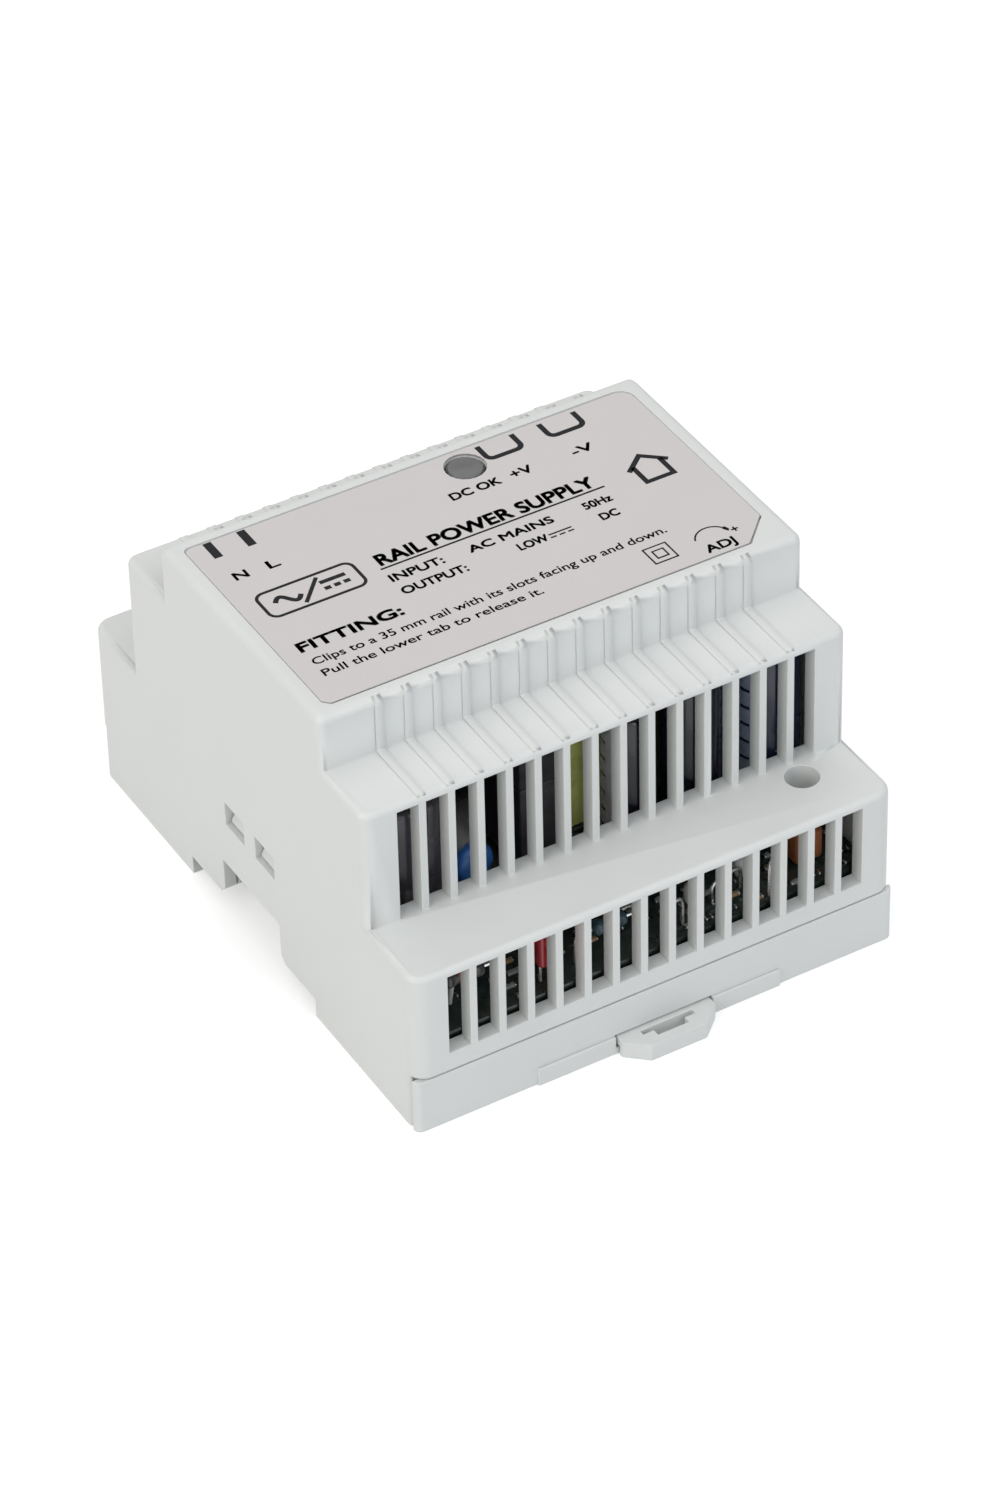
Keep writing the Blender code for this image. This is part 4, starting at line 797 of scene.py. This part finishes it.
def electrolytic(node, sleeve, ink_finish, stripe_faces, words_face, words, size):
    """One can with its sleeve, lid, vent, stripe and values."""
    low, high = node_box(node)
    x, y = centre(low, high)
    r = (high.x - low.x) / 2 - 0.05
    h = high.z - low.z
    place = (x, y, low.z)
    bm = bmesh.new()
    profile = [(r - 1.0, 0.0), (r - 0.5, 0.05), (r - 0.1, 0.4), (r, 0.9), (r, 1.9), (r - 0.12, 2.3)]
    profile += [(r - 0.5, 2.6), (r - 0.5, 2.9), (r - 0.12, 3.2), (r, 3.6), (r, h / 2), (r, h - 1.0)]
    profile += [(r - 0.12, h - 0.45), (r - 0.45, h - 0.12), (r - 0.9, h), (r - 1.3, h - 0.05)]
    profile += [(r - 1.35, h - 0.3)]
    lathe(bm, place, profile, 0, steps=56)
    lathe(bm, place, [(0.0, 0.3), (r - 0.9, 0.3)], 3, steps=40)
    lid = [(r - 1.1, h - 0.35), (r - 1.6, h - 0.2), (r * 0.5, h - 0.24), (0.0, h - 0.24)]
    lathe(bm, place, lid, 1, steps=48)
    # The vent scores are not cut. Three thin black wires across the lid are painted shade in the
    # grooves.
    for turn in (0, 60, 120):
        a = math.radians(turn + 15)
        reach = Vector((math.cos(a), math.sin(a), 0)) * (r - 2.0)
        middle = Vector((x, y, low.z + h - 0.25))
        wire(bm, [middle - reach, middle, middle + reach], 0.09, 3, sides=6)
    patch(bm, place, r + 0.03, stripe_faces, STRIPE_SPREAD / r, 3.9, h - 1.2, 2)
    for z in range(6, int(h) - DASH_STEP, DASH_STEP):
        patch(bm, place, r + 0.06, stripe_faces, DASH_SPREAD / r, z, z + 0.5, 0)
    for i, line in enumerate(words):
        wrapped_words(bm, line, place, r + 0.06, words_face + i * size * LINE_TURN / r, 5.0, size, 2)
    for side in (-1, 1):
        foot = Vector((x + side * r * 0.4, y, low.z + 0.3))
        wire(bm, [foot, foot - Vector((0, 0, 0.15)), foot - Vector((0, 0, 0.3))], 0.3, 4)
    finishes = (ALUMINIUM, ink_finish, BLACK, TINNED)
    return piece(node + "_can", bm, sleeve, nodes=[node], materials=finishes)


electrolytic("bulk_capacitor", VIOLET_SLEEVE, SLEEVE_PRINT, 80, 250, ["400 V", "105 C"], 2.6)
electrolytic("output_capacitor_1", SLEEVE, GREY_PRINT, 172, 262, ["220 35 V", "105 C"], 2.0)
electrolytic("output_capacitor_2", SLEEVE, SLEEVE_PRINT, 120, 222, ["1000 35 V", "105 C"], 2.2)
electrolytic("output_capacitor_3", NAVY_SLEEVE, SLEEVE_PRINT, 200, 262, ["1000 35 V", "105 C"], 2.2)

# %% [markdown]
# Ceramic discs are dipped: the coating swells in the middle, thins to the rim and runs a little way
# down each lead.


# %% Dipped discs
def dipped(node, coating, leads_in=0.55):
    """A disc on two leads, with the coating run down them."""
    low, high = node_box(node)
    x, y = centre(low, high)
    r = (high.x - low.x) / 2 - 0.03
    half = (high.y - low.y) / 2
    z = high.z - r - 0.03
    bm = bmesh.new()
    profile = []
    for i in range(13):
        a = -math.pi / 2 + math.pi * i / 12
        out = r - half * 0.75 + half * 0.75 * math.cos(a)
        at_pole = i in (0, 12)
        profile.append((out * 0.8 if at_pole else out, half * math.sin(a) * (1 if at_pole else 0.9)))
    profile = [(0.0, -half * 0.98)] + profile + [(0.0, half * 0.98)]
    lathe(bm, (x, y, z), profile, 0, steps=40, axis="Y")
    for side in (-1, 1):
        start = Vector((x + side * r * leads_in, y, z - r * 0.55))
        neck = [(0.0, 0.0), (0.34, 0.0), (0.42, 0.5), (0.7, 1.5), (0.9, 2.6), (0.0, 2.6)]
        lathe(bm, (start.x, y, z - r - 0.6), neck, 0, steps=12)
        knee = Vector((x + side * r * leads_in * 1.12, y + 0.15 * side, (low.z + z - r) / 2))
        foot = Vector((x + side * r * leads_in, y, low.z + 0.05))
        wire(bm, curved([start, (start + knee) / 2, knee, foot]), 0.27, 1)
    return piece(node + "_disc", bm, coating, nodes=[node], materials=(TINNED,))


dipped("y_capacitor", BLUE)
dipped("surge_varistor", BLUE)
dipped("inrush_thermistor", GREEN)

# %% [markdown]
# Leaded resistors have swollen ends, where the lacquer covers the caps, and three colour bands.


# %% Axial resistors
def resistor(node, lacquer, bands):
    """A resistor lying along X, with bands and bent leads."""
    low, high = node_box(node)
    y = (low.y + high.y) / 2
    r = (high.y - low.y) / 2 - 0.03
    z = high.z - r - 0.03
    middle = (low.x + high.x) / 2
    half = (high.x - low.x) / 2 - 3.0
    bm = bmesh.new()
    waist = r * 0.82
    profile = [(0.0, -half), (r * 0.5, -half), (r * 0.85, -half + 0.2), (r, -half + 0.6)]
    profile += [(r, -half + 1.2), (waist, -half + 1.8), (waist, half - 1.8)]
    profile += [(r, half - 1.2), (r, half - 0.6), (r * 0.85, half - 0.2), (r * 0.5, half), (0.0, half)]
    lathe(bm, (middle, y, z), profile, 0, steps=28, axis="X")
    for i, shift in enumerate(bands):
        at = -half + shift
        band = [(waist, at), (waist + 0.03, at + 0.02), (waist + 0.03, at + 0.58), (waist, at + 0.6)]
        lathe(bm, (middle, y, z), band, 2 + i % 2, steps=28, axis="X")
    for side, end in ((-1, low.x + 0.3), (1, high.x - 0.3)):
        path = [(middle + side * half * 0.9, y, z), (middle + side * (half + 0.8), y, z)]
        path += [(end - side * 0.6, y, z - 0.05), (end - side * 0.05, y, z - 0.7), (end, y, z - 1.8)]
        path += [(end, y, low.z + 0.02)]
        wire(bm, curved(path), 0.28, 1)
    return piece(node + "_body", bm, lacquer, nodes=[node], materials=(TINNED, RED, BROWN))


resistor("start_resistor", CHARCOAL, (2.1, 3.2, 4.2))
resistor("snubber_resistor", TEAL, (2.0, 2.9, 3.7))

# %% [markdown]
# The two ring coils are ferrite wound with enamelled wire. The input choke has two separate windings,
# one for each mains wire, with a gap between them. The output coil has one winding of thick wire.


# %% Wound rings
def wound_ring(node, spans, turns, gauge, hole):
    """A ring core with one coil on each span of degrees."""
    low, high = node_box(node)
    place = (*centre(low, high), low.z)
    outer = (high.x - low.x) / 2
    height = high.z - low.z
    bm = bmesh.new()
    core_in, core_out, skin = hole + 2 * gauge, outer - 2 * gauge, 2 * gauge
    soft = 0.5
    core = [(core_in + soft, skin), (core_out - soft, skin), (core_out, skin + soft)]
    core += [(core_out, height - skin - soft), (core_out - soft, height - skin)]
    core += [(core_in + soft, height - skin), (core_in, height - skin - soft), (core_in, skin + soft)]
    lathe(bm, place, core + [core[0]], 0, steps=48)
    for span in spans:
        path = coil(
            bm, (place[0], place[1], place[2] + gauge), hole + gauge, outer - gauge, height - 2 * gauge,
            span, turns, gauge * 0.98, 1,
        )
        for end in (path[0], path[-1]):
            away = Vector((end.x - place[0], end.y - place[1], 0)).normalized() * 0.1
            foot = Vector((end.x, end.y, low.z + gauge * 0.3)) + away
            wire(bm, [end, (end + foot) / 2, foot], gauge * 0.9, 1)
    return piece(node + "_wound", bm, FERRITE, nodes=[node], materials=(COPPER,))


wound_ring("emi_choke", [(20, 160), (200, 340)], 15, 0.4, 3.4)
wound_ring("output_inductor", [(-20, 300)], 22, 0.42, 2.6)

# %% [markdown]
# The transformer is a ferrite frame in two halves round a bobbin. Yellow tape covers the winding in
# overlapping layers, and a printed paper slip is stuck over its edge and the leg beside it.

# %% Transformer
low, high = node_box("transformer_core")
LEG, YOKE = 6.0, 4.5
SLIP_WIDTH, SLIP_LEFT, SLIP_FOOT, SLIP_TOP = 3.7, 7.7, 18.0, 38.0
MARKS, MARK_FOOT, MARK_STEP = 11, 27.4, 1.25
middle_z = (low.z + high.z) / 2
bm = bmesh.new()
for z0, z1 in ((low.z, middle_z - 0.03), (middle_z + 0.03, high.z)):
    inner_z = z0 + YOKE if z0 == low.z else z1 - YOKE
    for x0, x1 in ((low.x, low.x + LEG), (high.x - LEG, high.x)):
        block(bm, (x0, low.y, z0), (x1, high.y, z1), 0.3, 0)
    yoke = (z0, inner_z) if z0 == low.z else (inner_z, z1)
    yoke_low = (low.x + 0.2, low.y + 0.02, yoke[0] + 0.01)
    block(bm, yoke_low, (high.x - 0.2, high.y - 0.02, yoke[1] - 0.01), 0.3, 0)
slip = (high.x - LEG + 0.12, high.x - LEG + SLIP_WIDTH)
block(bm, (slip[0], low.y - 0.02, SEAT + 1.0), (slip[1], low.y + 0.04, high.z - 0.6), 0, 1)
for column, shift in ((slip[0] + 0.7, 0.0), (slip[0] + 2.1, 0.6)):
    for i in range(MARKS):
        z = MARK_FOOT + shift + i * MARK_STEP
        block(bm, (column - 0.5, low.y - 0.05, z), (column + 0.5, low.y, z + 0.28), 0, 2)
        block(bm, (column + 0.25, low.y - 0.05, z), (column + 0.5, low.y, z + 0.85), 0, 2)
piece("transformer_frame", bm, FERRITE, nodes=["transformer_core"], materials=(PAPER, DARK_PRINT))

low, high = node_box("transformer_winding")
bm = bmesh.new()
FLANGE = 1.0
for z0 in (low.z, high.z - FLANGE):
    block(bm, (low.x, low.y, z0), (high.x, high.y, z0 + FLANGE), 0.3, 1)
block(bm, (low.x + 0.3, low.y + 0.5, low.z + 0.8), (high.x - 0.3, high.y - 0.5, high.z - 0.8), 1.4, 0, 5)
for x0, x1, grow in ((low.x + 0.2, low.x + 5.6, 0.1), (low.x + 4.4, high.x - 0.2, 0.2)):
    tape_low = (x0, low.y + 0.5 - grow, low.z + FLANGE + 0.1)
    block(bm, tape_low, (x1, high.y - 0.5 + grow, high.z - FLANGE - 0.1), 0.15, 0)
block(
    bm, (SLIP_LEFT, low.y + 0.26, SLIP_FOOT), (high.x - 0.25, low.y + 0.5, SLIP_TOP), 0.05, 3
)
for i in range(4):
    for y in (low.y + 0.45, high.y - 0.45):
        foot = Vector((low.x + 1.2 + i * 2.3, y, low.z))
        wire(bm, [foot, foot - Vector((0, 0, 2)), foot - Vector((0, 0, foot.z - SEAT))], 0.3, 2)
piece(
    "transformer_winding_taped", bm, TAPE, nodes=["transformer_winding"],
    materials=(BLACK, TINNED, PAPER),
)

# %% [markdown]
# Film capacitors, the fuse and the rectifier are moulded boxes. Their edges are round and their legs
# are tinned, and the two large ones carry their values in small print.


# %% Moulded boxes
def moulded(node, shell, leg_places, lift, soft=0.6, words=(), word_finish=None, leg_gauge=0.32):
    """A moulded box raised on round legs."""
    low, high = node_box(node)
    bm = bmesh.new()
    block(bm, (low.x, low.y, low.z + lift), high, soft, 0, 4)
    for x, y in leg_places:
        foot = Vector((x, y, low.z))
        rise = [foot, foot + Vector((0, 0, lift / 2)), foot + Vector((0, 0, lift + 0.3))]
        wire(bm, rise, leg_gauge, 1)
    for words_line, x, z, size in words:
        flat_words(bm, words_line, (x, low.y - 0.02, z), size, 2)
    finishes = (TINNED, word_finish or WHITE)
    return piece(node + "_box", bm, shell, nodes=[node], materials=finishes)


low, high = node_box("x_capacitor")
middle = (low.y + high.y) / 2
moulded(
    "x_capacitor", GREY, [(low.x + 2.2, middle), (high.x - 2.2, middle)], 0.6, 0.8,
    [("0.22", (low.x + high.x) / 2, 22.5, 3.0), ("275 V", (low.x + high.x) / 2, 18.5, 2.4)], DARK_PRINT,
)
low, high = node_box("film_capacitor")
middle = (low.y + high.y) / 2
moulded("film_capacitor", RED, [(low.x + 0.9, middle), (high.x - 0.9, middle)], 3.4, 0.7)
low, high = node_box("fuse")
moulded("fuse", BLACK, [(low.x + 1.5, 30.0), (high.x - 1.5, 30.0)], 0.4, 0.5)
low, high = node_box("bridge_rectifier")
middle = (low.y + high.y) / 2
legs = [(low.x + 1.6 + i * (high.x - low.x - 3.2) / 3, middle) for i in range(4)]
moulded(
    "bridge_rectifier", BLACK, legs, 3.2, 0.45,
    [("~   ~", (low.x + high.x) / 2, 23.5, 1.8), ("+   -", (low.x + high.x) / 2, 21.2, 1.8)], GREY, 0.45,
)

# %% [markdown]
# The power stage: two folded aluminium plates, each with a tabbed device bolted to it.


# %% Heatsinks and devices
LEAD_PITCH = 2.54


def flat_device(node, screw):
    """A tabbed power device that stands on three leads, with its metal tab against the plate."""
    low, high = node_box(node)
    tab_low, body_top = SEAT + 9.0, SEAT + 18.0
    bm = bmesh.new()
    block(bm, (low.x + 0.05, low.y, tab_low), (high.x, high.y, body_top), 0.35, 0)
    block(bm, (low.x, low.y + 0.1, body_top - 1.0), (low.x + 1.2, high.y - 0.1, high.z), 0.12, 1)
    x = low.x + 2.4
    for y in ((low.y + high.y) / 2 + shift for shift in (-LEAD_PITCH, 0.0, LEAD_PITCH)):
        shoulder = (0.25, 0.6, tab_low - 3.2, tab_low + 0.3)
        for thick, wide, z0, z1 in (shoulder, (0.24, 0.38, low.z, tab_low - 3.0)):
            block(bm, (x - thick, y - wide, z0), (x + thick, y + wide, z1), 0.08, 1)
    piece(node + "_device", bm, BLACK, nodes=[node], materials=(STEEL,))

    low, high = node_box(screw)
    y, z = (low.y + high.y) / 2, (low.z + high.z) / 2
    shank = 1.4
    seat = 1.7
    length = high.x - low.x - seat
    profile = [(0.0, 0.0), (shank - 0.2, 0.0), (shank, 0.2), (shank, length), (2.6, length)]
    profile += [(2.6, length + 0.5), (2.4, length + 1.0), (1.9, length + 1.35), (1.2, length + 1.6)]
    profile += [(0.0, length + 1.7)]
    bm = bmesh.new()
    lathe(bm, (low.x, y, z), profile, 0, steps=28, axis="X")
    # The cross recess in the head is not cut. Two thin black bars stand in for it, as painted shade in
    # the recess.
    for dy, dz in ((1.5, 0.32), (0.32, 1.5)):
        block(bm, (high.x - 0.25, y - dy, z - dz), (high.x - 0.02, y + dy, z + dz), 0.05, 1, 1)
    piece(screw + "_bolt", bm, STEEL, nodes=[screw], materials=(BLACK,))


flat_device("switching_transistor", "transistor_screw")
flat_device("output_diode", "diode_screw")
for node in ("primary_heatsink", "secondary_heatsink"):
    dressed(node + "_plate", node, 0.12, ANODISED)


# %% Chips and their legs
def chip(node, rows, along, dot):
    """A flat chip with legs down both long sides. The legs run along X or Y."""
    low, high = node_box(node)
    bm = bmesh.new()
    block(bm, (low.x, low.y, low.z + 0.8), (high.x, high.y, high.z), 0.3, 0)
    for i in range(rows):
        for side in (-1, 1):
            if along == "X":
                x = low.x + (high.x - low.x) * (i + 0.5) / rows
                y = (low.y if side < 0 else high.y) - side * 0.5
                lo, hi = (x - 0.25, y - 0.15, low.z), (x + 0.25, y + 0.15, low.z + 1.2)
            else:
                y = low.y + (high.y - low.y) * (i + 0.5) / rows
                x = (low.x if side < 0 else high.x) - side * 0.5
                lo, hi = (x - 0.15, y - 0.25, low.z), (x + 0.15, y + 0.25, low.z + 1.2)
            block(bm, lo, hi, 0.05, 1, 1)
    lathe(bm, (dot[0], dot[1], high.z - 0.01), [(0.0, 0.03), (0.45, 0.03), (0.5, 0.0)], 2, steps=20)
    return piece(node + "_chip", bm, BLACK, nodes=[node], materials=(STEEL, GREY))


chip("control_chip", 4, "X", (-4.0, 7.2))
chip("optocoupler", 2, "Y", (-2.2, 22.6))

# %% [markdown]
# The adjuster is a square trimmer with a slotted rotor. The rotor is white, so the slot shows its
# setting, and it turns with its own body.

# %% Adjuster
dressed("trimmer_case", "trimmer_body", 0.25, BROWN, segments=3, weigh=False)
dressed("trimmer_knob", "trimmer_rotor", 0.1, WHITE, body="rotor", weigh=False)

# %% [markdown]
# ## Terminals
#
# Each block is moulded with soft edges, and its screws and cages are plated steel. Every screw and
# cage rides on its own body, because turning a screw lifts its cage.

# %% Terminal blocks, screws and cages
for node in ("input_terminal_block", "output_terminal_block"):
    dressed(node + "_moulding", node, 0.12, TERMINAL)
for pole in ("neutral", "line", "plus_1", "plus_2", "minus_1", "minus_2"):
    for kind in ("screw", "cage"):
        node = f"{pole}_{kind}"
        dressed(node + "_steel", node, 0.07, STEEL, body=node + "_body")

# %% [markdown]
# ## Circuit board
#
# The board has a very dark green lacquer. Tinned pads, tracks, wire links and a scatter of small
# surface parts fill the space behind the lower grille, where light catches on them.

# %% Board and its solder
random.seed(11)
low, high = node_box("circuit_board")
bm = soften(merged_copy("circuit_board"), 0.1, segments=1)
for face in bm.faces:
    face.material_index = 0
top = high.z
TRACKS = [
    (-31, -38.6, 8.0, 0.9), (-22, -36.8, 12.0, 0.7), (-9, -37.4, 9.0, 0.7), (3.5, -38.2, 11.0, 0.9),
    (14, -36.6, 13.0, 0.7), (27, -42.0, 9.0, 0.8), (11, -41.6, 7.0, 0.7), (-14, -32.4, 10.0, 0.8),
]
for x, y, length, width in TRACKS:
    block(bm, (x, y, top), (x + length, y + width, top + 0.04), 0, 2)
TALL_PARTS = (
    "start_resistor", "snubber_resistor", "film_capacitor", "trimmer_body", "bulk_capacitor",
    "output_capacitor_1", "output_capacitor_2", "output_capacitor_3",
)
taken = [node_box(node) for node in TALL_PARTS]
MARGIN = 0.8
small = []
for row in range(4):
    y = -42.6 + row * 2.3
    x = -35.0 + row * 1.3
    while x < 35.0:
        wide = random.choice((1.2, 1.6, 2.0))
        free = not any(
            a.x - MARGIN < x + wide and x < b.x + MARGIN
            and a.y - MARGIN < y + 1.2 and y < b.y + MARGIN
            for a, b in taken
        )
        if free and random.random() < 0.85:
            small.append((x, y, wide))
        x += wide + random.uniform(1.2, 2.6)
for x, y, wide in small:
    kind = random.choice((3, 3, 4, 5))
    block(bm, (x + 0.25, y, top), (x + wide - 0.25, y + 0.8, top + 0.5), 0.06, kind, 1)
    for end in (x, x + wide - 0.3):
        block(bm, (end, y - 0.02, top), (end + 0.3, y + 0.82, top + 0.46), 0.08, 1, 1)
print("board:", len(small), "small parts,", len(TRACKS), "tracks")

# %% Wire links and loose ends
# A link starts and ends just over the board, and its points between carry their own heights.
LINK_FOOT = top + 0.1
BARE = [
    [(-5.8, -26.2), (-5.4, -26.6, 18.4), (-3.8, -26.0, 19.4), (-3.0, -25.6)],
    [(-6.2, -28.4), (-5.6, -28.2, 16.2), (-2.4, -27.6, 16.6), (-1.6, -27.4)],
    [(-35.0, -43.0), (-34.9, -42.9, 20.0), (-33.6, -42.7, 21.6), (-33.2, -42.6)],
    [(-35.2, -39.2), (-34.6, -39.6, 17.5), (-31.5, -39.0, 18.4), (-29.6, -38.4)],
    [(-3.6, -38.0), (-3.2, -38.2, 16.2), (1.0, -37.6, 16.6), (1.6, -37.4)],
    [(4.2, -42.4), (4.4, -42.2, 17.8), (6.6, -41.6, 18.0), (7.0, -41.4)],
    [(13.0, -39.6), (13.2, -39.6, 16.4), (17.6, -39.0, 16.8), (18.0, -38.8)],
    [(20.4, -42.6), (20.6, -42.4, 18.6), (22.6, -41.6, 19.2), (23.0, -41.2)],
]
SLEEVED = [
    [(-36.0, -40.4), (-35.9, -41.4, 21.8), (-33.4, -42.4, 24.0), (-30.0, -42.0, 23.4), (-28.6, -38.4)],
    [(-34.2, -37.6), (-34.0, -38.6, 20.8), (-32.0, -39.6, 22.8), (-28.6, -38.0, 21.8), (-27.4, -36.0)],
    [(-14.6, -28.2), (-14.9, -28.4, 18.8), (-14.2, -28.8, 22.6), (-13.5, -28.4, 20.4), (-13.4, -28.0)],
]
for links_of_kind, radius, kind in ((BARE, 0.3, 1), (SLEEVED, 0.36, 6)):
    for start, *middle, end in links_of_kind:
        wire(bm, curved([(*start, LINK_FOOT), *middle, (*end, LINK_FOOT)], 7), radius, kind)
for x, y in ((-6.6, -37.2), (10.6, -37.8), (19.6, -36.4)):
    lathe(bm, (x, y, top), [(0.0, 3.2), (0.9, 3.0), (1.1, 2.2), (1.1, 0.8), (0.8, 0.0)], 6, steps=20)
piece(
    "circuit_board_filled", bm, BOARD, nodes=["circuit_board"],
    materials=(TINNED, TRACK, BLACK, TAN, GREY, WHITE),
)

# %% [markdown]
# ## Latch spring
#
# The CAD spring is a coarse coil. A finer one with closed end turns replaces it.

# %% Spring
low, high = node_box("latch_spring")
x, z = (low.x + high.x) / 2, (low.z + high.z) / 2
gauge = 0.2
coil_radius = (high.x - low.x) / 2 - gauge
length = high.y - low.y - 2 * gauge
bm = bmesh.new()
path = []
TURN_COUNT, TURN_STEPS, CLOSED_SHARE = 8, 24, 0.07
for i in range(TURN_COUNT * TURN_STEPS + 1):
    t = i / TURN_COUNT / TURN_STEPS
    ease = min(1.0, max(0.0, (t - CLOSED_SHARE) / (1 - 2 * CLOSED_SHARE)))
    a = math.tau * TURN_COUNT * t
    path.append(Vector((
        x + coil_radius * math.cos(a), low.y + gauge + length * ease, z + coil_radius * math.sin(a)
    )))
wire(bm, path, gauge, 0, sides=8)
spring = piece("latch_spring_coil", bm, SPRING, nodes=["latch_spring"])

# %% [markdown]
# ## Nodes whose shape is already right
#
# Small turned and moulded parts keep their CAD mesh and only take a better finish.

# %% Finishes for the plain nodes
PLAIN = {
    "led_window": LIGHT_WINDOW,
    "status_led": LED,
    "led_spacer": NYLON,
    "board_screw_1": STEEL,
    "board_screw_2": STEEL,
}
for node, material in PLAIN.items():
    mesh = NODES[node].data
    mesh.materials.clear()
    mesh.materials.append(material)
print(len(PLAIN), "nodes finished")

# %% [markdown]
# ## Floor
#
# The floor is pale and plain. The camera sees it a little brighter than it is, so that it runs into
# the white backdrop, and it keeps the object's soft shadow.

# %% Floor
FLOOR_BOOST = 0.42

floor_bm = bmesh.new()
bmesh.ops.create_grid(floor_bm, x_segments=1, y_segments=1, size=4.0)
floor_mesh = bpy.data.meshes.new("floor")
floor_bm.to_mesh(floor_mesh)
floor_bm.free()
floor = bpy.data.objects.new("floor", floor_mesh)
bpy.context.scene.collection.objects.link(floor)
paper = bpy.data.materials.new("paper")
paper.use_nodes = True
nodes, links = paper.node_tree.nodes, paper.node_tree.links
shader = nodes["Principled BSDF"]
shader.inputs["Base Color"].default_value = (0.8, 0.8, 0.8, 1)
shader.inputs["Roughness"].default_value = 0.9
shader.inputs["Specular IOR Level"].default_value = 0.0
glow = nodes.new("ShaderNodeEmission")
both = nodes.new("ShaderNodeAddShader")
boost = nodes.new("ShaderNodeMath")
boost.operation = "MULTIPLY"
boost.inputs[1].default_value = FLOOR_BOOST
links.new(seen_by(paper.node_tree, "Is Camera Ray", "Is Glossy Ray"), boost.inputs[0])
links.new(boost.outputs[0], glow.inputs["Strength"])
links.new(shader.outputs[0], both.inputs[0])
links.new(glow.outputs[0], both.inputs[1])
links.new(both.outputs[0], nodes["Material Output"].inputs["Surface"])
floor_mesh.materials.append(paper)
print("floor laid")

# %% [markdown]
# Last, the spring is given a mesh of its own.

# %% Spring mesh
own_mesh(spring)
